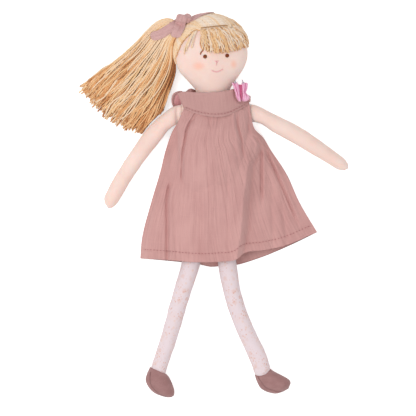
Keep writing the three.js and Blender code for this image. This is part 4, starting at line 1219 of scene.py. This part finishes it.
# height of the skirt at each y: near its right edge, over the right hip, in the middle, on the main ridge,
# and in the valley beside that
SKIRT_HEIGHTS = [
    (-62, 12.2, 20.0, 22.0, 25.5, 15.2),
    (-26, 12.2, 20.4, 25.2, 27.4, 14.8),
    (4, 12.2, 21.8, 30.6, 29.8, 14.8),
    (39, 13.2, 24.4, 36.4, 28.4, 15.4),
    (58, 14.2, 24.4, 37.0, 25.0, 17.2),
    (80, 15.2, 24.0, 37.0, 24.4, 22.2),
    (100, 16.0, 24.0, 37.0, 24.8, 23.4),
]
RIDGE = [(20.6, -57.0), (25.4, -26.0), (27.4, 4.0), (31.4, 39.0), (36.0, 58.0), (37.0, 80.0)]
VALLEY_WIDTH = 9.0
SIDE_REACH = 7.0  # from the skirt's right edge to where it has risen from the floor
HIP_X = -31.0
BED = 2.6  # lowest height of the front panel, over the back one
SLACK = 2.0  # room under the cloth, where it gathers
ARMHOLE = 0.16  # share of the panel's length along which its side edges run up over the shoulders
GATHERS = 15
CRINKLES = 62  # across the front panel


def torso_cover(x, y):
    """Height of cloth that lies on the torso, or 0 beside it."""
    shape = np.array(TORSO_SHAPE)
    half, mid, deep = (np.interp(TORSO_HIGH[1] - y, shape[:, 0], shape[:, k]) for k in (1, 2, 3))
    share = np.clip(np.abs(x - TORSO_MID[0]) / (half + 4), 0, 1)
    over = mid + (deep + MUSLIN + 0.6) * np.sqrt(1 - share**2)
    return np.where(share < 1, over, 0)


def skirt_height(x, y, u, v):
    table = np.array(SKIRT_HEIGHTS)
    side, hip, crest, ridge, valley = (np.interp(y, table[:, 0], table[:, k]) for k in range(1, 6))
    line = np.array(RIDGE)
    right, left = x[:, :1], x[:, -1:]
    edge = BED + lerp(16.5, 21.0, smooth(0.7, 1.0, u)) * (1 - smooth(ARMHOLE - 0.04, ARMHOLE + 0.16, v))
    ridge_x = np.minimum(np.interp(y, line[:, 1], line[:, 0]), left - VALLEY_WIDTH)
    side_x = np.minimum(right + SIDE_REACH, HIP_X - 1)
    corners = [
        (right, edge[:, :1]),
        (side_x, np.maximum(side, edge[:, :1])),
        (HIP_X, hip),
        (TORSO_MID[0], crest),
        (ridge_x, ridge),
        (ridge_x + VALLEY_WIDTH - 1, valley),
        (left, edge[:, -1:]),
    ]
    z = edge[:, :1] + 0 * x
    for (x0, z0), (x1, z1) in zip(corners, corners[1:]):
        z = z + (z1 - z0) * np.clip((x - x0) / np.maximum(x1 - x0, 0.5), 0, 1)
    return np.maximum(z, torso_cover(x, y))


def gathered(u, v):
    """Small pleats below the yoke, which fade downwards."""
    pleats = np.sin(2 * np.pi * GATHERS * u + 3.0 * ripple(grid_of(u * CRINKLES, v * 4, 0), 9, 1.3))
    return pleats * (1 - smooth(0.02, 0.14, v)) * smooth(0, 0.03, v)


def crinkled(x, y, u, v):
    """Fine crinkles along the warp, which are drawn flat at the left of the waist."""
    flat = grid_of(u * CRINKLES, v * 4, 0)
    waves = ripple(flat, 1.0, 4.2) * 0.3 + ripple(flat * [1, 2, 1], 2.6, 8.8) * 0.5
    furrows = (1 - np.abs(ripple(grid_of(u * CRINKLES, v * 2, 0), 1.7, 5.5))) ** 9
    waves -= 0.6 * furrows * smooth(0.05, 0.2, v)
    return waves * (1 - 0.75 * hump(x, 37, 10) * hump(y, 66, 18))


def hemmed(v):
    """The doubled cloth of the hem, with the furrow that its stitches draw in."""
    return HEM_LIFT * smooth(HEM_SEWN - 0.006, HEM_SEWN + 0.004, v) - 0.5 * hump(v, HEM_SEWN, 0.008)


def fold_at_hip(piece):
    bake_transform(piece)


def make_dress_front():
    columns, rows = 220, 170
    x, y, u, v = panel(SKIRT_TOP, FRONT_HEM, columns, rows)
    cover = torso_cover(x, y)
    draped = softened(softened(skirt_height(x, y, u, v), 7).T, 9).T
    z = np.maximum(draped, cover + SLACK * smooth(0.028, 0.1, v)) + crease_height(x, y)
    crinkle = crinkled(x, y, u, v)
    side = np.minimum(u, 1 - u)
    z += (0.3 * gathered(u, v) + 0.4 * smooth(0.0, 0.05, v) + crinkle) * smooth(0.0, 0.05, side)
    z = np.maximum(z + hemmed(v), np.maximum(BED, cover - 0.2))
    grid = grid_of(x + 0.5 * crinkle * smooth(0, 0.1, v), y, z)
    dress = cloth("dress_front", grid, MUSLIN, DRESS, up=-1)
    line = grid[int(HEM_SEWN * (rows - 1)), 4:-4] + [0, 0, 0.15]
    sewn = stitches("hem_stitches", line, ROSE_THREAD, "sewing_thread", *SEWN)
    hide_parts("dress_front")
    fold_at_hip(dress)
    fold_at_hip(sewn)


def make_dress_back():
    x, y, u, v = panel(SKIRT_TOP, BACK_HEM, 120, 90)
    z = MUSLIN + 0.15 + 0.14 * ripple(grid_of(u * 40, v * 3, 0), 1.0, 2.4)
    dress = cloth("dress_back", grid_of(x, y, z), MUSLIN - 0.1, DRESS, up=-1)
    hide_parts("dress_back")
    fold_at_hip(dress)


YOKE_ROWS = 34
YOKE_SEWN = 0.86  # share of the way down the yoke at which it is sewn to the skirt


def yoke_plan(top, columns):
    """Plan of a yoke from its upper edge to the skirt, and the share of the way down of each row."""
    v = np.linspace(0, 1, YOKE_ROWS)[:, None]
    plan = lerp(through(top, columns)[None], through(YOKE_LOW, columns)[None], v[..., None])
    return plan[..., 0], plan[..., 1], v


def make_yoke_front():
    x, y, v = yoke_plan(YOKE_TOP, 120)
    snug = 3.4 * (1 - v) ** 2 * hump(x, TORSO_MID[0], 22)
    z = chest(x) + MUSLIN + 1.5 - snug + 0.3 * ripple(grid_of(x, y * 0.6, 0), 4, 6.6)
    z += 0.8 * hump(v, 0.96, 0.06) - 0.5 * hump(v, YOKE_SEWN, 0.03)
    plan = np.stack([x, y], -1)
    pinned = np.linalg.norm(plan[:, :, None] - through(PINNED, 40)[None, None], axis=-1).min(-1)
    z -= 1.7 * hump(pinned, 0, 1.1)
    z += 0.35 * hump(v, 0.02, 0.04)
    grid = grid_of(x, y, z)
    yoke = cloth("yoke_front", grid, MUSLIN + 0.3, YOKE_CLOTH, up=-1)
    line = grid[int(YOKE_SEWN * YOKE_ROWS), 3:-3] + [0, 0, 0.2]
    sewn = stitches("yoke_stitches", line, ROSE_THREAD, "sewing_thread", *SEWN)
    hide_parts("yoke_front")
    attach(yoke, "torso")
    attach(sewn, "torso")


def make_yoke_back():
    x, y, v = yoke_plan(COLLAR_BACK, 80)
    rise = 14.0 * smooth(0.6, 0.12, v) * hump(x, -25, 7)
    z = MUSLIN + 0.15 + 0.12 * ripple(grid_of(x, y * 0.6, 0), 5, 7.7) + rise
    back = cloth("yoke_back", grid_of(x, y, z), MUSLIN - 0.1, DRESS, up=-1)
    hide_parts("yoke_back")
    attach(back, "torso")


GAPING_OUTER = [(-34.0, 112.2, 23.0), (-39.4, 112.2, 21.0), (-42.6, 110.2, 19.4)]
GAPING_OUTER += [(-44.2, 105.6, 17.6), (-44.2, 101.0, 16.0), (-42.6, 97.2, 14.0)]
GAPING_INNER = [(-31.5, 107.5, 19.0), (-32.0, 105.5, 16.6), (-32.6, 104.0, 14.6)]
GAPING_INNER += [(-33.2, 102.4, 13.4), (-34.0, 100.4, 12.4), (-35.0, 98.6, 12.0)]
WORN_OUTER = [(33.4, 101.6, 20.8), (33.8, 106.6, 17.5), (34.0, 106.2, 12.0)]
WORN_OUTER += [(33.6, 104.0, 6.0), (32.8, 98.6, 2.4)]
WORN_INNER = [(26.5, 104.0, 24.2), (26.5, 110.8, 19.5), (26.5, 110.8, 13.0)]
WORN_INNER += [(26.5, 108.5, 6.5), (26.5, 103.0, 2.6)]


def make_straps():
    """Each strap goes from the front yoke over the shoulder to the back; the doll's right one gapes."""
    c = np.linspace(0, 1, 22)[None, :]
    rolled = 1.4 * hump(c, 0.1, 0.1) - 0.7 * hump(c, 0.27, 0.07)
    lit_lining = smooth(0.24, 0.34, c)
    for side, outer, inner, up, gapes in (
        ("right", GAPING_OUTER, GAPING_INNER, -1, True),
        ("left", WORN_OUTER, WORN_INNER, 1, False),
    ):
        rows = lerp(through(outer, 48)[:, None], through(inner, 48)[:, None], c[..., None])
        rows = rows + 0.25 * ripple(rows, 5, 3.3)[..., None]
        rows[..., 2] += rolled
        # the gaping strap's inside shows the lining, lightened as painted light falling into it
        inside = np.broadcast_to(lit_lining * gapes, rows.shape[:2])
        strap = cloth(f"shoulder_strap_{side}", rows, MUSLIN + 0.3, YOKE_CLOTH, up, inside)
        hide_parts(f"shoulder_strap_{side}")
        wide, long = flat_size(rows)
        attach(strap, "torso")


# Brooch
# at each x, how far its points come down to lie on the yoke, which falls away towards the doll's left
BROOCH_FALL = [(16.0, 1.2), (22.5, 2.5), (25.5, 3.7), (29.5, 5.3), (34.0, 8.0)]


def pinned_down(points):
    return points - UP * np.interp(points[..., 0], *np.transpose(BROOCH_FALL))[..., None]


PETAL_RIGHT = [
    (16.2, 120.6, 22.2, 121.0, 35.4, 1.0),
    (18.2, 115.4, 23.4, 115.4, 35.6, 2.2),
    (19.6, 110.8, 24.2, 110.8, 35.8, 2.6),
    (20.2, 108.0, 24.6, 107.8, 36.0, 3.0),
    (21.2, 104.8, 25.3, 104.4, 35.6, 2.8),
    (23.0, 102.4, 25.0, 102.0, 34.8, 1.2),
]
PETAL_LEFT = [
    (26.0, 121.4, 32.2, 120.6, 33.8, 1.0),
    (26.2, 115.4, 31.8, 115.2, 34.0, 2.2),
    (26.4, 111.2, 30.6, 111.2, 34.2, 2.6),
    (26.2, 107.4, 33.8, 106.8, 34.6, 3.0),
    (25.9, 104.4, 33.2, 104.2, 34.2, 2.8),
    (27.0, 102.2, 31.0, 102.4, 33.4, 1.2),
]
BROOCH_FOLD = [
    (21.8, 119.2, 27.2, 119.0, 33.8, 1.2),
    (23.4, 114.0, 26.8, 114.0, 34.6, 1.8),
    (24.6, 108.0, 26.4, 108.0, 36.0, 2.2),
    (25.2, 104.0, 26.0, 104.0, 36.2, 1.6),
]
LOOSE_THREADS = [
    [(19.2, 120.0, 36.0), (19.2, 121.6, 36.6), (19.4, 122.8, 36.2)],
    [(20.0, 120.0, 36.2), (20.1, 121.6, 36.8), (19.8, 122.6, 36.4)],
    [(26.9, 119.8, 34.4), (26.8, 122.2, 35.0), (26.3, 124.2, 34.6)],
    [(27.6, 119.8, 34.6), (27.5, 121.8, 35.2), (27.0, 123.4, 34.8)],
]


def make_brooch():
    """Two satin petals in a V with rounded lobes, a dark fold between them, and a few loose threads."""
    count, sides = 50, 64
    c, s = np.cos(circle(sides))[None, :], np.sin(circle(sides))
    t = np.linspace(0, 1, count)[:, None]
    for side, pairs, crease in (("right", PETAL_RIGHT, 0.15), ("left", PETAL_LEFT, -0.25)):
        rings = stuffed(pairs, rings=count, sides=sides, seam=0.15)
        groove = hump(c, crease - 0.3 * (t - 0.4), 0.2) * (s > 0)
        rings[..., 2] -= 2.2 * groove * smooth(1.0, 0.55, t)
        frayed = 0.5 * np.cos(3 * c * np.pi) * smooth(0.14, 0, t)
        rings[..., 1] += frayed
        rings = pinned_down(rings)
        petal = lofted(f"brooch_petal_{side}", rings, ends_of(rings), SATIN)
        fixed(petal, "torso", f"brooch_tail_{side}", f"brooch_lobe_{side}")
    rings = pinned_down(stuffed(BROOCH_FOLD, rings=30, sides=24))
    centre = lofted("brooch_fold", rings, ends_of(rings), DEEP_SATIN)
    fixed(centre, "torso", "brooch_tie")
    paths = [pinned_down(through(points, 10)) for points in LOOSE_THREADS]
    loose = strands("brooch_threads", paths, LOOSE_THREAD, SILVER)
    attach(loose, "torso")


# Stage
FLOOR_HALF = 3.0
FLOOR_HEIGHT = -0.0004
FLOOR_GLOW = 0.6  # what the camera sees of the floor beyond its own shading
WORLD_STRENGTH = 0.63


def make_floor():
    """White paper that keeps the doll's shadow."""
    ways = ((-1, -1), (1, -1), (1, 1), (-1, 1))
    corners = [(x * FLOOR_HALF, y * FLOOR_HALF, FLOOR_HEIGHT) for x, y in ways]
    data = bpy.data.meshes.new("floor")
    data.from_pydata(corners, [], [(0, 1, 2, 3)])
    floor = bpy.data.objects.new("floor", data)
    bpy.context.scene.collection.objects.link(floor)
    paper = Finish("white_paper", 1.0, {"Base Color": colour(250, 250, 250), "Specular IOR Level": 0.0})
    grain = paper.noise(paper.place("object"), 400, 2)
    paper.bump(grain, 0.02, 0.1)
    seen = paper.add("LightPath", output="Is Camera Ray")
    for ray in ("Is Glossy Ray", "Is Transmission Ray"):
        seen = paper.sum("MAXIMUM", seen, paper.add("LightPath", output=ray))
    paper.shader.inputs["Emission Color"].default_value = (1, 1, 1, 1)
    paper.tree.links.new(paper.sum("MULTIPLY", seen, FLOOR_GLOW), paper.shader.inputs["Emission Strength"])
    data.materials.append(paper.material)


def make_lights(scene):
    scene.view_settings.view_transform = "Standard"
    world = bpy.data.worlds.new("studio")
    world.use_nodes = True
    background = world.node_tree.nodes["Background"]
    background.inputs["Color"].default_value = (1, 1, 1, 1)
    background.inputs["Strength"].default_value = WORLD_STRENGTH
    scene.world = world
    for name, place, width, power in (
        ("key", (-0.8, 0.12, 1.5), 1.1, 10.8),
        ("fill", (0.5, -0.6, 1.6), 1.4, 4.5),
    ):
        light = bpy.data.lights.new(name, "AREA")
        light.size = width
        light.energy = power
        lamp = bpy.data.objects.new(name, light)
        lamp.location = place
        lamp.rotation_euler = (-Vector(place)).to_track_quat("-Z", "Y").to_euler()
        scene.collection.objects.link(lamp)


def make_camera(scene):
    """Looks straight down on the doll from far off."""
    view_width = 416 * MM
    view_centre = Vector((-7.6 * MM, -4.05 * MM, 20 * MM))
    distance = 4.0
    lens = bpy.data.cameras.new("camera")
    lens.sensor_width = 36
    lens.lens = lens.sensor_width * distance / view_width
    lens.clip_end = 20
    camera = bpy.data.objects.new("camera", lens)
    camera.location = view_centre + Vector((0, 0, distance))
    scene.collection.objects.link(camera)
    scene.camera = camera


make_floor()
make_lights(bpy.context.scene)
make_camera(bpy.context.scene)
face = make_head()
make_face(face)
cap = make_cap()
make_fringe()
make_side_lock()
make_parting()
ponytail = make_ponytail()
make_hair_tie()
knot = make_knot()
make_band()
make_tails([cap, ponytail, knot, face])
make_torso()
make_arms()
make_legs()
make_shoes()
make_seams()
make_dress_front()
make_dress_back()
make_yoke_front()
make_yoke_back()
make_straps()
make_brooch()
